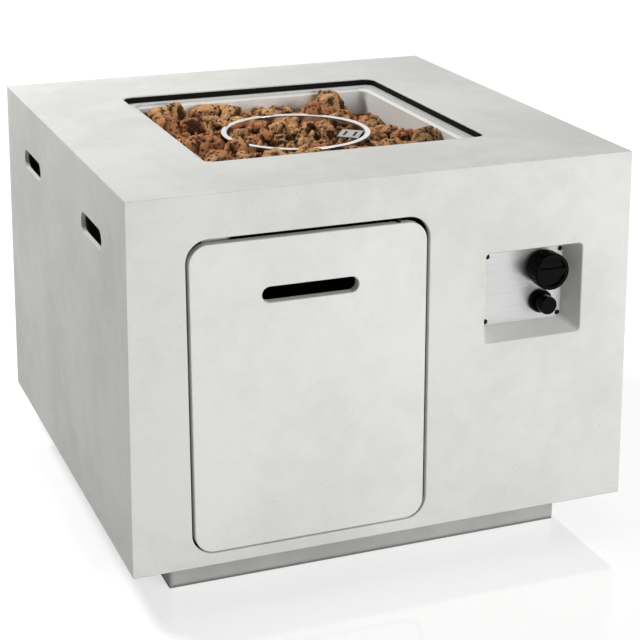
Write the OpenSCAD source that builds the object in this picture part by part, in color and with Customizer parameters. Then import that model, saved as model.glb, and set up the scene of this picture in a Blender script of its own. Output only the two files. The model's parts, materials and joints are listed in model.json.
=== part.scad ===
// Gas fire pit table: a cast shell on an inset plinth, a drop-in burner pan with lava rock,
// recessed gas controls and a door to the cylinder bay.
// Millimetres. The origin is on the floor under the middle of the table: +X right, +Y back, +Z up.

/* [Table] */
// Width of the table, left to right
table_w = 711; // [660:1:800]
// Depth of the table, front to back
table_d = 711; // [660:1:800]
// Height of the table top above the floor
table_h = 559; // [550:1:640]
// Thickness of the cast walls and of the door at the lower edge
wall_t = 18; // [16:1:22]
// How far each face leans in, from the lower edge to the top
face_lean = 7; // [4:0.5:8]
// Thickness of the cast top
top_t = 25; // [23:1:30]
// Rounding of the top edges
edge_r = 2; // [1:0.5:4]
// Rounding of the lower edges
low_edge_r = 2.5; // [1:0.5:4]
// Thickness of the lip that joins the walls to the plinth
lip_t = 17; // [15:1:24]

/* [Plinth] */
// How far the plinth stands in from the table's faces
plinth_inset = 65; // [50:1:80]
// Height of the plinth
plinth_h = 60; // [45:1:80]
// Wall of the plinth frame
plinth_wall = 25; // [20:1:32]
// Rounding of the plinth's edges
plinth_r = 8; // [3:0.5:12]
// Width of the inner ledge that carries the bay's floor
tray_ledge = 15; // [10:1:20]
// Height of that ledge above the floor
tray_lift = 10; // [6:1:16]
// Distance between the two bolts of a side
bolt_spacing = 320; // [260:1:380]

/* [Door] */
// Width of the door opening
door_open_w = 329; // [300:1:345]
// Depth of the door opening's top below the table top
lintel_drop = 58; // [52:1:70]
// Middle of the door opening, from the table's middle
door_x = -111; // [-120:1:-100]
// Corner rounding of the door opening
door_open_r = 30; // [20:1:40]
// Gap at each side of the door
door_side_gap = 4; // [3.5:0.25:6]
// Gap over the door
door_top_gap = 7; // [5:0.5:10]
// Gap under the door
door_low_gap = 2; // [1.75:0.25:3]
// Length of the hand slot
hand_slot_l = 131; // [100:1:160]
// Height of the hand slot
hand_slot_h = 21; // [18:1:30]
// Depth of the hand slot below the door's top edge
hand_slot_drop = 74; // [50:1:100]
// Distance of the pivot from the door's hinge edge
pivot_inset = 38; // [36:0.5:42]
// Diameter of the pivot pins
pin_d = 5; // [4:0.5:6]

/* [Carry slots] */
// Length of a carry slot in the side walls
carry_slot_l = 107; // [80:1:130]
// Height of a carry slot
carry_slot_h = 28; // [22:1:34]
// Distance between the two slots of a side
carry_spacing = 352; // [280:1:400]
// Depth of the slots below the table top
carry_drop = 85; // [70:1:120]
// Thickness of the wall where fingers grip it
grip_t = 6; // [5:0.5:10]

/* [Top opening and pan] */
// Side of the square opening in the top
opening = 410; // [390:1:440]
// Corner rounding of that opening
opening_r = 18; // [14:1:26]
// Depth of the pan's rim below the table top
rim_drop = 10; // [6:0.5:11]
// Width of the ledge that carries the rim
ledge_w = 12; // [10:1:16]
// Thickness of the gasket under and around the rim
gasket_t = 1.25; // [0.75:0.25:1.5]
// Sheet of the pan
pan_t = 1.5; // [1:0.25:2]
// Depth of the pan's floor below the table top
pan_drop = 70; // [64:1:78]
// Slope of the pan's shoulder, in and down
shoulder = 4; // [2:0.5:6]

/* [Burner] */
// Outer radius of the bowl's rim
bowl_r = 108.5; // [106:0.5:112]
// Depth of the bowl's rim below the table top
bowl_drop = 22; // [18:1:30]
// Width of the bowl's flat rim
bowl_rim_w = 8; // [5:0.5:9]
// Thickness of the rim, whose edge is rolled
bowl_rim_t = 2.4; // [2:0.1:3]
// Sheet of the bowl
bowl_t = 1.2; // [0.8:0.1:1.8]
// Radius of the burner ring
burner_r = 52; // [48:1:53]
// Diameter of the burner's tube
burner_d = 13; // [10:0.5:15]
// Wall of the burner's tube
burner_wall = 1.2; // [0.8:0.1:1.6]
// Height of the tube's centre over the bowl's floor
burner_lift = 14; // [11:0.5:16]
// Number of gas ports in the ring
port_n = 20; // [8:2:32]
// Diameter of a gas port
port_d = 2; // [1:0.25:3]
// Length of the mixer tube under the pan
mixer_l = 40; // [36:1:44]
// Diameter of the gas pipe
pipe_d = 8; // [6:0.5:10]
// Bend radius of the gas pipe
pipe_bend = 20; // [16:1:24]
// Distance of the pilot hood from the bowl's middle
hood_reach = 79; // [78:0.5:80]
// Direction of the hood from the bowl's middle, in degrees
hood_bearing = -25; // [-30:1:-22]
// Turn of the hood about the upright, in degrees
hood_turn = -37; // [-42:1:-32]
// Width of the pilot hood
hood_w = 32; // [28:1:33]
// Depth of the pilot hood
hood_d = 34; // [30:1:35]

/* [Lava rock] */
// Spacing of the stones around the bowl
rock_pitch = 41; // [34:1:56]
// Spacing of the stones in the bowl
small_pitch = 28; // [27:0.5:29]
// How far a stone may stand off its even place
rock_shake = 9; // [0:0.5:11]
// Mean depth of the outer stones' tops below the table top
rock_drop = 28; // [24:1:36]
// Spread of the outer stones' tops
rock_spread = 24; // [0:1:28]
// Rise of the heap towards the left wall
rock_slope = 10; // [0:0.5:12]
// How far the bowl's rim shows over the stones beside it
rim_show = 9; // [4:0.5:14]
// Clear space between stones
stone_gap = 0.6; // [0.5:0.1:1]

/* [Controls] */
// Middle of the control recess, from the table's right edge
recess_inset = 148; // [140:0.5:156]
// Depth of the recess' middle below the table top
recess_drop = 183; // [176:1:195]
// Width of the recess at the front
recess_w = 149; // [142:1:160]
// Height of the recess at the front
recess_h = 129; // [122:1:140]
// Depth of the plate's face behind the table's lower front edge
recess_depth = 36; // [32:0.5:40]
// Wall of the moulded pocket behind the recess
pocket_wall = 8; // [6:1:10]
// Width of the control plate
plate_w = 118; // [116:1:124]
// Height of the control plate
plate_h = 103; // [101:1:106]
// Thickness of the control plate
plate_t = 1.5; // [1:0.25:2]
// Distance between the plate's screws, left to right
screw_dx = 110; // [107:0.5:110]
// Distance between the plate's screws, up and down
screw_dz = 92; // [90:0.5:93]
// Knob and button axis, right of the plate's middle
control_dx = 26; // [24:0.5:27]
// Knob axis above the plate's middle
knob_dz = 25; // [24.5:0.5:26]
// Button axis below the plate's middle
button_dz = 24.5; // [24:0.5:25]
// Diameter of the knob
knob_d = 51; // [44:1:52]
// Length of the knob
knob_l = 30; // [26:1:34]
// Travel of the knob when it is pushed
knob_travel = 3; // [2:0.5:3.5]
// Diameter of the igniter button
button_d = 25; // [20:0.5:26]
// How far the button stands out of the plate
button_l = 28.5; // [24:0.5:30]
// Travel of the igniter button
button_travel = 5; // [3:0.5:6]

/* [Cylinder bay] */
// Middle of the cylinder, from the table's middle, left to right
tank_x = -108; // [-116:1:-96]
// Middle of the cylinder, front to back
tank_y = -108; // [-116:1:-96]
// Inner diameter of the ring that locates the cylinder's foot
tank_ring_d = 240; // [200:1:270]

/* [Hidden] */
$fn = 48;

// Colours, as the finished pieces show
concrete = [0.80, 0.80, 0.78];
stone_brown = [0.40, 0.24, 0.15];
satin_steel = [0.72, 0.72, 0.70];
bright_steel = [0.82, 0.82, 0.82];
zinc = [0.62, 0.63, 0.64];
brass = [0.75, 0.60, 0.30];
black = [0.05, 0.05, 0.05];
copper = [0.72, 0.45, 0.30];
white = [0.92, 0.90, 0.86];

// Clearances
cut = 1;            // how far a cutting shape runs past the face that it cuts
fit = 0.1;          // between fixed pieces
running = 0.05;     // between a turning or sliding piece and its bore
seat_gap = 0.3;     // between a moving piece and its rest

// Shell
front_y = -table_d / 2;
inner_front_y = front_y + wall_t;
body_h = table_h - plinth_h;
bay_w = table_w - 2 * wall_t;
bay_d = table_d - 2 * wall_t;
bay_r = 12;
bay_floor_z = plinth_h + lip_t;
bay_top_z = table_h - top_t;
grip_relief = 12;

// How far a face stands in from its lower edge at a height
function face_in(z) = face_lean * (z - plinth_h) / body_h;

// Plinth and bay floor
plinth_w = table_w - 2 * plinth_inset;
plinth_d = table_d - 2 * plinth_inset;
well_w = plinth_w - 2 * plinth_wall;
well_d = plinth_d - 2 * plinth_wall;
well_r = 10;
tray_t = 1.5;
tray_rim = 25;
tray_gap = 0.5;
tray_slot = [60, 8];
tray_slot_pitch = 26;
bolt_d = 6;
bolt_head = [13, 4];
bolt_l = 45;

// Door
door_w = door_open_w - 2 * door_side_gap;
lintel_z = table_h - lintel_drop;
door_open_h = lintel_z - bay_floor_z;
door_r = door_open_r - door_side_gap;
door_z0 = bay_floor_z + door_low_gap;
door_z1 = lintel_z - door_top_gap;
door_h = door_z1 - door_z0;
pivot_x = door_x + door_w / 2 - pivot_inset;
pivot_y = inner_front_y - (wall_t - face_in(lintel_z)) / 2;
pin_grip = 32;
top_pin_reach = 8;
bush_d = pin_d + 3;
bush_l = 12;
bush_floor = 2;

// Magnetic catch under the lintel, near the door's free edge
catch_x = door_x - door_w / 2 + 42;
catch_w = 36;
catch_sheet = 2;
strike = [40, 16, 1.5];
strike_z = door_z1 - 12;
magnet = [34, 10, 12];
catch_screw_d = 4;
catch_screw_l = 9;
catch_flange = 22;
catch_rise = 4;

// Pan and gasket
pan_gap = 1;
ledge_open = opening - 2 * ledge_w;
rim_z = table_h - rim_drop;
ledge_z = rim_z - pan_t - gasket_t;
rim_side = opening - 2 * (gasket_t + 2 * fit);
neck_side = ledge_open - 2 * pan_gap;
pan_side = neck_side - 2 * shoulder;
pan_in = pan_side - 2 * pan_t;
pan_r = opening_r - shoulder / 2;
pan_z = table_h - pan_drop;
pan_under_z = pan_z - pan_t;
drain_d = 8;
drain_place = pan_in / 2 - 30;
slice = 0.02;

// Burner
bowl_rim_z = table_h - bowl_drop;
bowl_floor_z = pan_z + bowl_t;
bowl_in_r = bowl_r - bowl_rim_w - bowl_t / 3;
bowl_wall_r = bowl_in_r + bowl_t;
burner_z = bowl_floor_z + burner_lift;
burner_top_z = burner_z + burner_d / 2;
riser_d = burner_d + 2;
riser_collar = [riser_d + 8, 3];
riser_tail = 14;
burner_nut_af = riser_d + 9;
burner_nut_t = 6;
mixer_wall = 3;
mixer_d = riser_d + 2 * mixer_wall;
mixer_z1 = pan_under_z - burner_nut_t - 0.5;
mixer_z0 = mixer_z1 - mixer_l;
mixer_floor = 3;
air_slot = [6, 14];
spud_d = 10;
spud_l = 9;
orifice_af = 17;
orifice_t = 10;
orifice_z = mixer_z0 - orifice_t;
pipe_nut_af = pipe_d + 7;
pipe_nut_l = 9;

// Pilot hood, thermocouple and spark electrode
hood_t = 1.5;
hood_at = hood_reach * [cos(hood_bearing), sin(hood_bearing)];
hood_front_z = bowl_rim_z - 4;
hood_back_z = bowl_rim_z - 1.5;
hood_leg = 10;
hood_slot = [4, 22];
hood_slot_pitch = 14.5;
probe_at = hood_at + turned([-6, -7], hood_turn);
probe_d = 5;
probe_top_z = hood_front_z - 4;
spark_at = hood_at + turned([7, 7], hood_turn);
spark_d = 7;
spark_wire_d = 2;
spark_top_z = hood_front_z - 2;
spark_ceramic_z = bowl_floor_z + 18;
probe_tail = 12;

// Stones
stone_sides = 7;
// Height and width of each ring of a stone, as shares of the stone's own
stone_rings = [[0, 0.66], [0.3, 1], [0.66, 0.9], [0.92, 0.5]];
stone_lump = 0.1;
stone_floor_gap = 0.2;
stone_top_limit = table_h - 11;
hood_clear_r = norm([hood_w, hood_d]) / 2 + 1;
fence_sides = 24;

// Recess and control plate
recess_x = table_w / 2 - recess_inset;
recess_z = table_h - recess_drop;
recess_r = 6;
plate_rise = 2;
plate_z = recess_z + plate_rise;
plate_y = front_y + recess_depth;
plate_r = recess_r;
plate_margin = 0.5;
pocket_in_w = plate_w + 2 * plate_margin;
pocket_in_h = plate_h + 2 * plate_margin;
pocket_depth = recess_depth + plate_t;
window = [44, 92];
window_r = 10;
plate_screw_d = 4;
plate_screw_l = 9;
plate_screw_head = [7, 2.4];

// Valve, measured outwards from the face of the plate
valve_w = 36;
valve_deep = 40;
nose_d = 14;
nose_l = 6;
valve_nut_af = 19;
valve_nut_t = 4;
chamber_d = 22;
chamber_z = [-36, -8];
stem_d = 8;
stem_end = 25;
stem_collar = [14, 3];
stem_tail_d = 6;
stem_tail_l = 9;
plunger_l = 12.5;
outlet_dz = -10;
outlet_boss = [14, 8];
probe_port_dz = 9;
probe_port = [9, 6];
inlet_deep = 25;
inlet_hex = [19, 9];
inlet_thread_d = 15.8;
inlet_thread_l = 16;
inlet_bore_d = 6;
knob_rear = knob_travel + 1.5;
knob_hollow = [30, 7];
knob_dish = [knob_d / 2 - 5.5, 4];
knob_bar_w = 9;
knob_edge_r = 3;
knob_waist = 1.5;
flute_n = 12;
flute_r = 5;
flute_bite = 0.7;
flat_depth = 1.2;

// Igniter, measured the same way
barrel_d = button_d + 3.4;
barrel_l = 55;
bezel = [button_d + 7.4, 8];
button_tail = 20;
button_bore_deep = button_tail + button_travel + 1;
button_edge_r = 2;
igniter_nut_af = barrel_d + 6;
igniter_nut_t = 5;
terminal = [8, 6];

// Leads
lead_rings = 22;
lead_sides = 8;
probe_lead_d = 3;
spark_lead_d = 4;
valve_x = recess_x + control_dx;
valve_z = plate_z + knob_dz;
igniter_z = plate_z - button_dz;
valve_back_y = plate_y + plate_t + valve_deep;
pipe_z = valve_z + outlet_dz;
pipe_start_y = valve_back_y + outlet_boss[1];
igniter_back_y = plate_y + barrel_l + terminal[1];
lead_pull = 110;

function unit(v) = v / norm(v);

function turned(p, a) = [p[0] * cos(a) - p[1] * sin(a), p[0] * sin(a) + p[1] * cos(a)];

// Shapes that several pieces share

// Rectangle with round corners, in the middle of its plane
module round_rect(w, h, r) {
    square([w - 2 * r, h], center = true);
    square([w, h - 2 * r], center = true);
    for (sx = [-1, 1], sy = [-1, 1])
        translate([sx * (w / 2 - r), sy * (h / 2 - r)])
            circle(r);
}

// Slot with round ends, in the middle of its plane
module round_slot(l, h) {
    square([l - h, h], center = true);
    for (s = [-1, 1])
        translate([s * (l - h) / 2, 0])
            circle(d = h);
}

// Upright outline of a block whose sides lean in, with its own rounding above and below
module elevation(w, lean, h, r, low_r) {
    side = [
        for (a = [-90 : 15 : 0]) [w / 2 - low_r + low_r * cos(a), low_r + low_r * sin(a)],
        for (a = [0 : 15 : 90]) [w / 2 - lean - r + r * cos(a), h - r + r * sin(a)]
    ];
    polygon(concat(side, [for (i = [len(side) - 1 : -1 : 0]) [-side[i][0], side[i][1]]]));
}

// Upright post of a rounded rectangle between two heights
module round_post(w, d, r, z0, z1) {
    translate([0, 0, z0])
        linear_extrude(z1 - z0)
            round_rect(w, d, r);
}

// Extrudes an outline drawn as seen from the front, from y0 back to y1
module from_front(y0, y1) {
    translate([0, y1, 0])
        rotate([90, 0, 0])
            linear_extrude(y1 - y0)
                children();
}

// Extrudes an outline drawn as seen from the right, from x0 to x1
module from_side(x0, x1) {
    translate([x0, 0, 0])
        rotate([90, 0, 90])
            linear_extrude(x1 - x0)
                children();
}

// Block whose faces lean in: its two upright outlines crossed
module leaning_block(w, d, lean, h, r, low_r) {
    intersection() {
        from_front(-d / 2, d / 2)
            elevation(w, lean, h, r, low_r);
        from_side(-w / 2, w / 2)
            elevation(d, lean, h, r, low_r);
    }
}

// Hexagon given by its width across the flats
module hexagon(af) {
    circle(d = af / cos(30), $fn = 6);
}

// Screw with its head on the plane z = 0, the shank below
module head_screw(d, l, head_d, head_h) {
    translate([0, 0, -l])
        cylinder(d = d, h = l);
    rotate_extrude()
        polygon([[0, 0], [head_d / 2, 0], [head_d / 2, head_h * 0.5], [head_d * 0.3, head_h], [0, head_h]]);
}

// Puts a piece on the control plate: its z points out of the plate's face, its y up
module on_plate(dx, dz) {
    translate([recess_x + dx, plate_y, plate_z + dz])
        rotate([90, 0, 0])
            children();
}

// Places of the plinth's bolts
module at_bolts() {
    for (s = [-1, 1], t = [-1, 1]) {
        translate([t * bolt_spacing / 2, s * (plinth_d - plinth_wall) / 2, bay_floor_z])
            children();
        translate([s * (plinth_w - plinth_wall) / 2, t * bolt_spacing / 2, bay_floor_z])
            children();
    }
}

// Places of the plate's screws, on the plate's face
module at_plate_screws() {
    for (sx = [-1, 1], sz = [-1, 1])
        on_plate(sx * screw_dx / 2, sz * screw_dz / 2)
            children();
}

// Places of the catch's screws, seen from inside the bay
module at_catch_screws() {
    screw_z = lintel_z + catch_rise + catch_flange / 2;
    for (s = [-1, 1])
        translate([catch_x + s * catch_w / 4, inner_front_y + catch_sheet, screw_z])
            rotate([-90, 0, 0])
                children();
}

// Shell and plinth

// Tapered space of the control recess, grown on every side
module recess_space(grow, y0, y1) {
    hull() {
        translate([recess_x, 0, recess_z])
            from_front(y0, y0 + slice)
                round_rect(recess_w + 2 * grow, recess_h + 2 * grow, recess_r + grow, $fn = 32);
        translate([recess_x, 0, plate_z])
            from_front(y1 - slice, y1)
                round_rect(pocket_in_w + 2 * grow, pocket_in_h + 2 * grow, recess_r + grow, $fn = 32);
    }
}

// Outside of the shell and the door
module shell_block() {
    translate([0, 0, plinth_h])
        leaning_block(table_w, table_d, face_lean, body_h, edge_r, low_edge_r);
}

module body_shell() {
    grip_z = table_h - carry_drop;
    grip_x = table_w / 2 - face_in(grip_z) - grip_t;
    color(concrete)
        difference() {
            union() {
                difference() {
                    shell_block();
                    round_post(bay_w, bay_d, bay_r, bay_floor_z, bay_top_z);
                }
                recess_space(pocket_wall, front_y + wall_t / 2, front_y + pocket_depth + pocket_wall);
            }
            // top opening and the ledge for the pan
            round_post(opening, opening, opening_r, ledge_z, table_h + cut);
            round_post(ledge_open, ledge_open, opening_r, bay_top_z - cut, ledge_z + cut);
            // well into the plinth
            round_post(well_w, well_d, well_r, plinth_h - cut, bay_floor_z + cut);
            // door opening
            translate([door_x, 0, (bay_floor_z + lintel_z) / 2])
                from_front(front_y - cut, inner_front_y + cut)
                    round_rect(door_open_w, door_open_h, door_open_r);
            for (z = [bay_floor_z - bush_l, lintel_z - cut])
                translate([pivot_x, pivot_y, z])
                    cylinder(d = bush_d + 2 * running, h = bush_l + cut);
            // carry slots, thinned from inside where fingers grip
            for (s = [-1, 1])
                translate([0, s * carry_spacing / 2, grip_z]) {
                    from_side(-table_w / 2 - cut, table_w / 2 + cut)
                        round_slot(carry_slot_l, carry_slot_h);
                    from_side(-grip_x, grip_x)
                        round_slot(carry_slot_l + 2 * grip_relief, carry_slot_h + 2 * grip_relief);
                }
            // control recess, with its window for the valve and the igniter
            recess_space(0, front_y - slice, front_y + pocket_depth);
            translate([recess_x + control_dx, 0, plate_z])
                from_front(front_y + recess_depth, front_y + pocket_depth + pocket_wall + cut)
                    round_rect(window[0], window[1], window_r);
            at_plate_screws()
                translate([0, 0, -plate_t - pocket_wall - cut])
                    cylinder(d = plate_screw_d + fit, h = pocket_wall + 2 * cut);
            at_catch_screws()
                translate([0, 0, -catch_screw_l - catch_sheet])
                    cylinder(d = catch_screw_d + fit, h = catch_screw_l + catch_sheet + cut);
            at_bolts()
                translate([0, 0, -lip_t - cut])
                    cylinder(d = bolt_d + fit, h = lip_t + 2 * cut);
        }
}

module plinth() {
    color(concrete)
        difference() {
            intersection() {
                leaning_block(plinth_w, plinth_d, 0, plinth_h + plinth_r, plinth_r, plinth_r);
                round_post(plinth_w, plinth_d, plinth_r, 0, plinth_h);
            }
            round_post(well_w, well_d, well_r, tray_lift, plinth_h + cut);
            round_post(well_w - 2 * tray_ledge, well_d - 2 * tray_ledge, well_r, -cut, tray_lift + cut);
            at_bolts()
                translate([0, 0, -bolt_l - cut])
                    cylinder(d = bolt_d + fit, h = bolt_l + cut);
        }
}

module plinth_bolts() {
    color(zinc)
        at_bolts()
            head_screw(bolt_d, bolt_l, bolt_head[0], bolt_head[1]);
}

// Cylinder bay

module tank_tray() {
    tray_w = well_w - 2 * tray_gap;
    tray_d = well_d - 2 * tray_gap;
    color(zinc)
        difference() {
            round_post(tray_w, tray_d, well_r, tray_lift, tray_lift + tray_rim);
            round_post(
                tray_w - 2 * tray_t, tray_d - 2 * tray_t, well_r - tray_t,
                tray_lift + tray_t, tray_lift + tray_rim + cut
            );
            for (i = [-2 : 2], s = [-1, 1])
                translate([tank_x + s * tray_slot[0] * 0.7, tank_y + i * tray_slot_pitch, tray_lift - cut])
                    linear_extrude(tray_t + 2 * cut)
                        round_slot(tray_slot[0], tray_slot[1]);
        }
}

module tank_ring() {
    ring_h = 20;
    ring_t = 3;
    color(zinc)
        translate([tank_x, tank_y, tray_lift + tray_t])
            difference() {
                cylinder(d = tank_ring_d + 2 * ring_t, h = ring_h);
                translate([0, 0, -cut])
                    cylinder(d = tank_ring_d, h = ring_h + 2 * cut);
            }
}

// Pan, bowl and burner

module pan_gasket() {
    outer = opening - 2 * fit;
    inner = outer - 2 * gasket_t;
    color(black)
        difference() {
            round_post(outer, outer, opening_r, ledge_z, table_h - 2);
            round_post(inner, inner, opening_r - gasket_t, ledge_z + gasket_t, table_h);
            round_post(ledge_open, ledge_open, opening_r, ledge_z - cut, table_h);
        }
}

// Sloping shoulder of the pan, from the rim's opening in to the wall
module pan_shoulder(neck, wall, r, z1) {
    hull() {
        round_post(neck, neck, r + (neck - wall) / 4, z1 - slice, z1, $fn = 32);
        round_post(wall, wall, r, z1 - shoulder - slice, z1 - shoulder, $fn = 32);
    }
}

module burner_pan() {
    neck_in = neck_side - 2 * pan_t;
    color(satin_steel)
        difference() {
            union() {
                round_post(rim_side, rim_side, opening_r - gasket_t, rim_z - pan_t, rim_z);
                pan_shoulder(neck_side, pan_side, pan_r, rim_z - pan_t);
                round_post(pan_side, pan_side, pan_r, pan_under_z, rim_z - pan_t - shoulder / 2);
            }
            round_post(neck_in, neck_in, pan_r, rim_z - pan_t - slice, rim_z + cut);
            pan_shoulder(neck_in, pan_in, pan_r - pan_t, rim_z - pan_t);
            round_post(pan_in, pan_in, pan_r - pan_t, pan_z, rim_z - pan_t - shoulder / 2);
            translate([burner_r, 0, pan_under_z - cut])
                cylinder(d = riser_d + 2 * fit, h = pan_t + 2 * cut);
            translate([probe_at[0], probe_at[1], pan_under_z - cut])
                cylinder(d = probe_d + 2 * fit, h = pan_t + 2 * cut);
            translate([spark_at[0], spark_at[1], pan_under_z - cut])
                cylinder(d = spark_d + 2 * fit, h = pan_t + 2 * cut);
            for (sx = [-1, 1], sy = [-1, 1])
                translate([sx * drain_place, sy * drain_place, pan_under_z - cut])
                    cylinder(d = drain_d, h = pan_t + 2 * cut);
        }
}

module burner_bowl() {
    rim_middle_z = bowl_rim_z - bowl_rim_t / 2;
    color(bright_steel)
        difference() {
            union() {
                rotate_extrude()
                    translate([bowl_r - bowl_rim_w / 2, rim_middle_z])
                        round_slot(bowl_rim_w, bowl_rim_t);
                difference() {
                    translate([0, 0, pan_z])
                        cylinder(r = bowl_wall_r, h = rim_middle_z - pan_z);
                    translate([0, 0, bowl_floor_z])
                        cylinder(r = bowl_in_r, h = table_h);
                }
            }
            translate([burner_r, 0, pan_z - cut])
                cylinder(d = riser_d + 2 * fit, h = bowl_t + 2 * cut);
            translate([probe_at[0], probe_at[1], pan_z - cut])
                cylinder(d = probe_d + 2 * fit, h = bowl_t + 2 * cut);
            translate([spark_at[0], spark_at[1], pan_z - cut])
                cylinder(d = spark_d + 2 * fit, h = bowl_t + 2 * cut);
        }
}

module ring_burner() {
    riser_bore = riser_d - 2 * burner_wall - 2;
    color(zinc)
        difference() {
            union() {
                rotate_extrude()
                    translate([burner_r, burner_z])
                        circle(d = burner_d);
                translate([burner_r, 0, pan_under_z - riser_tail])
                    cylinder(d = riser_d, h = burner_z - pan_under_z + riser_tail);
                translate([burner_r, 0, bowl_floor_z])
                    cylinder(d = riser_collar[0], h = riser_collar[1]);
                translate([-burner_r, 0, bowl_floor_z])
                    cylinder(d = burner_d - 4, h = burner_lift);
            }
            rotate_extrude()
                translate([burner_r, burner_z])
                    circle(d = burner_d - 2 * burner_wall);
            translate([burner_r, 0, pan_under_z - riser_tail - cut])
                cylinder(d = riser_bore, h = burner_z - pan_under_z + riser_tail + cut);
            for (i = [0 : port_n - 1])
                rotate(360 * (i + 0.5) / port_n)
                    translate([burner_r, 0, burner_z])
                        cylinder(d = port_d, h = burner_d);
        }
}

module burner_nut() {
    color(brass)
        translate([burner_r, 0, pan_under_z - burner_nut_t])
            linear_extrude(burner_nut_t)
                difference() {
                    hexagon(burner_nut_af);
                    circle(d = riser_d + 2 * fit);
                }
}

module mixer_tube() {
    riser_end_z = pan_under_z - riser_tail;
    color(zinc)
        translate([burner_r, 0, 0])
            difference() {
                translate([0, 0, mixer_z0])
                    cylinder(d = mixer_d, h = mixer_l);
                translate([0, 0, riser_end_z - fit])
                    cylinder(d = riser_d + 2 * fit, h = mixer_l);
                translate([0, 0, mixer_z0 + mixer_floor])
                    cylinder(d = riser_d - 1, h = mixer_l);
                translate([0, 0, mixer_z0 - cut])
                    cylinder(d = spud_d + 2 * fit, h = mixer_l / 2);
                for (a = [0, 90])
                    rotate(a)
                        translate([0, 0, mixer_z0 + mixer_floor + spud_l])
                            from_side(-mixer_d, mixer_d)
                                round_slot(air_slot[0] + 1, air_slot[0]);
            }
}

module orifice_fitting() {
    color(brass)
        translate([burner_r, 0, 0])
            difference() {
                union() {
                    translate([0, 0, orifice_z])
                        linear_extrude(orifice_t)
                            hexagon(orifice_af);
                    translate([0, 0, mixer_z0])
                        cylinder(d = spud_d, h = spud_l);
                }
                translate([0, 0, orifice_z - cut])
                    cylinder(d = pipe_d - 2, h = orifice_t + cut);
                cylinder(d = 1.8, h = table_h);
            }
}

// Pipe from the valve straight back, across to the burner and up to its orifice
module gas_pipe() {
    run_back = -pipe_bend - pipe_start_y;
    run_across = valve_x - burner_r - 2 * pipe_bend;
    color(copper) {
        translate([valve_x, pipe_start_y, pipe_z])
            rotate([-90, 0, 0])
                cylinder(d = pipe_d, h = run_back);
        translate([valve_x - pipe_bend, -pipe_bend, pipe_z])
            rotate_extrude(angle = 90)
                translate([pipe_bend, 0])
                    circle(d = pipe_d);
        translate([burner_r + pipe_bend, 0, pipe_z])
            rotate([0, 90, 0])
                cylinder(d = pipe_d, h = run_across);
        translate([burner_r + pipe_bend, 0, pipe_z + pipe_bend])
            rotate([90, 180, 0])
                rotate_extrude(angle = 90)
                    translate([pipe_bend, 0])
                        circle(d = pipe_d);
        translate([burner_r, 0, pipe_z + pipe_bend])
            cylinder(d = pipe_d, h = orifice_z - pipe_z - pipe_bend);
    }
}

module pipe_nut() {
    linear_extrude(pipe_nut_l)
        difference() {
            hexagon(pipe_nut_af);
            circle(d = pipe_d + 2 * fit);
        }
}

module pipe_nuts() {
    color(brass) {
        translate([valve_x, pipe_start_y, pipe_z])
            rotate([-90, 0, 0])
                pipe_nut();
        translate([burner_r, 0, orifice_z - pipe_nut_l])
            pipe_nut();
    }
}

// Pilot hood, thermocouple, spark electrode and their leads

// Sloping plate on two legs at its front, so that its back hangs free over the burner
module pilot_hood() {
    half = hood_d / 2;
    foot = bowl_floor_z;
    rise = hood_back_z - hood_front_z;
    function under(y) = hood_front_z - hood_t + rise * (y + half) / hood_d;
    color(bright_steel)
        translate([hood_at[0], hood_at[1], 0])
            rotate(hood_turn)
                difference() {
                    from_side(-hood_w / 2, hood_w / 2)
                        polygon([[-half, foot], [half, foot], [half, hood_back_z], [-half, hood_front_z]]);
                    from_side(hood_t - hood_w / 2, hood_w / 2 - hood_t)
                        polygon([
                            [-half - cut, foot - cut], [half, foot - cut],
                            [half, under(half)], [-half - cut, under(-half - cut)]
                        ]);
                    from_side(-hood_w, hood_w)
                        polygon([
                            [hood_leg - half, foot - cut], [half + cut, foot - cut],
                            [half + cut, under(half + cut)], [hood_leg - half, under(hood_leg - half)]
                        ]);
                    for (s = [-1, 1])
                        translate([s * hood_slot_pitch / 2, 0, hood_front_z - 2 * hood_t])
                            linear_extrude(rise + 4 * hood_t)
                                rotate(90)
                                    round_slot(hood_slot[1], hood_slot[0]);
                }
}

module thermocouple() {
    color(copper)
        translate([probe_at[0], probe_at[1], pan_under_z - probe_tail])
            cylinder(d = probe_d, h = probe_top_z - pan_under_z + probe_tail);
}

module spark_electrode() {
    color(white)
        translate([spark_at[0], spark_at[1], 0]) {
            translate([0, 0, pan_under_z - probe_tail])
                cylinder(d = spark_d, h = spark_ceramic_z - pan_under_z + probe_tail);
            translate([0, 0, spark_ceramic_z - cut])
                cylinder(d = spark_wire_d, h = spark_top_z - spark_ceramic_z + cut);
        }
}

function curve_point(p, t) =
    pow(1 - t, 3) * p[0] + 3 * t * pow(1 - t, 2) * p[1] + 3 * t * t * (1 - t) * p[2] + pow(t, 3) * p[3];

function curve_heading(p, t) =
    unit(pow(1 - t, 2) * (p[1] - p[0]) + 2 * t * (1 - t) * (p[2] - p[1]) + t * t * (p[3] - p[2]));

// Round lead along a curve with four control points
module lead(path, d) {
    points = [
        for (i = [0 : lead_rings])
            let (
                middle = curve_point(path, i / lead_rings),
                heading = curve_heading(path, i / lead_rings),
                side = unit(cross(heading, [1, 0, 0])),
                up = cross(heading, side)
            )
            for (k = [0 : lead_sides - 1])
                middle + d / 2 * (cos(360 * k / lead_sides) * side + sin(360 * k / lead_sides) * up)
    ];
    polyhedron(points, tube_faces(lead_rings, lead_sides), convexity = 6);
}

// Faces of a closed tube whose rings have the same number of points
function tube_faces(bands, sides) = concat(
    [[for (k = [0 : sides - 1]) k]],
    band_faces(bands, sides),
    [[for (k = [sides - 1 : -1 : 0]) bands * sides + k]]
);

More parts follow.
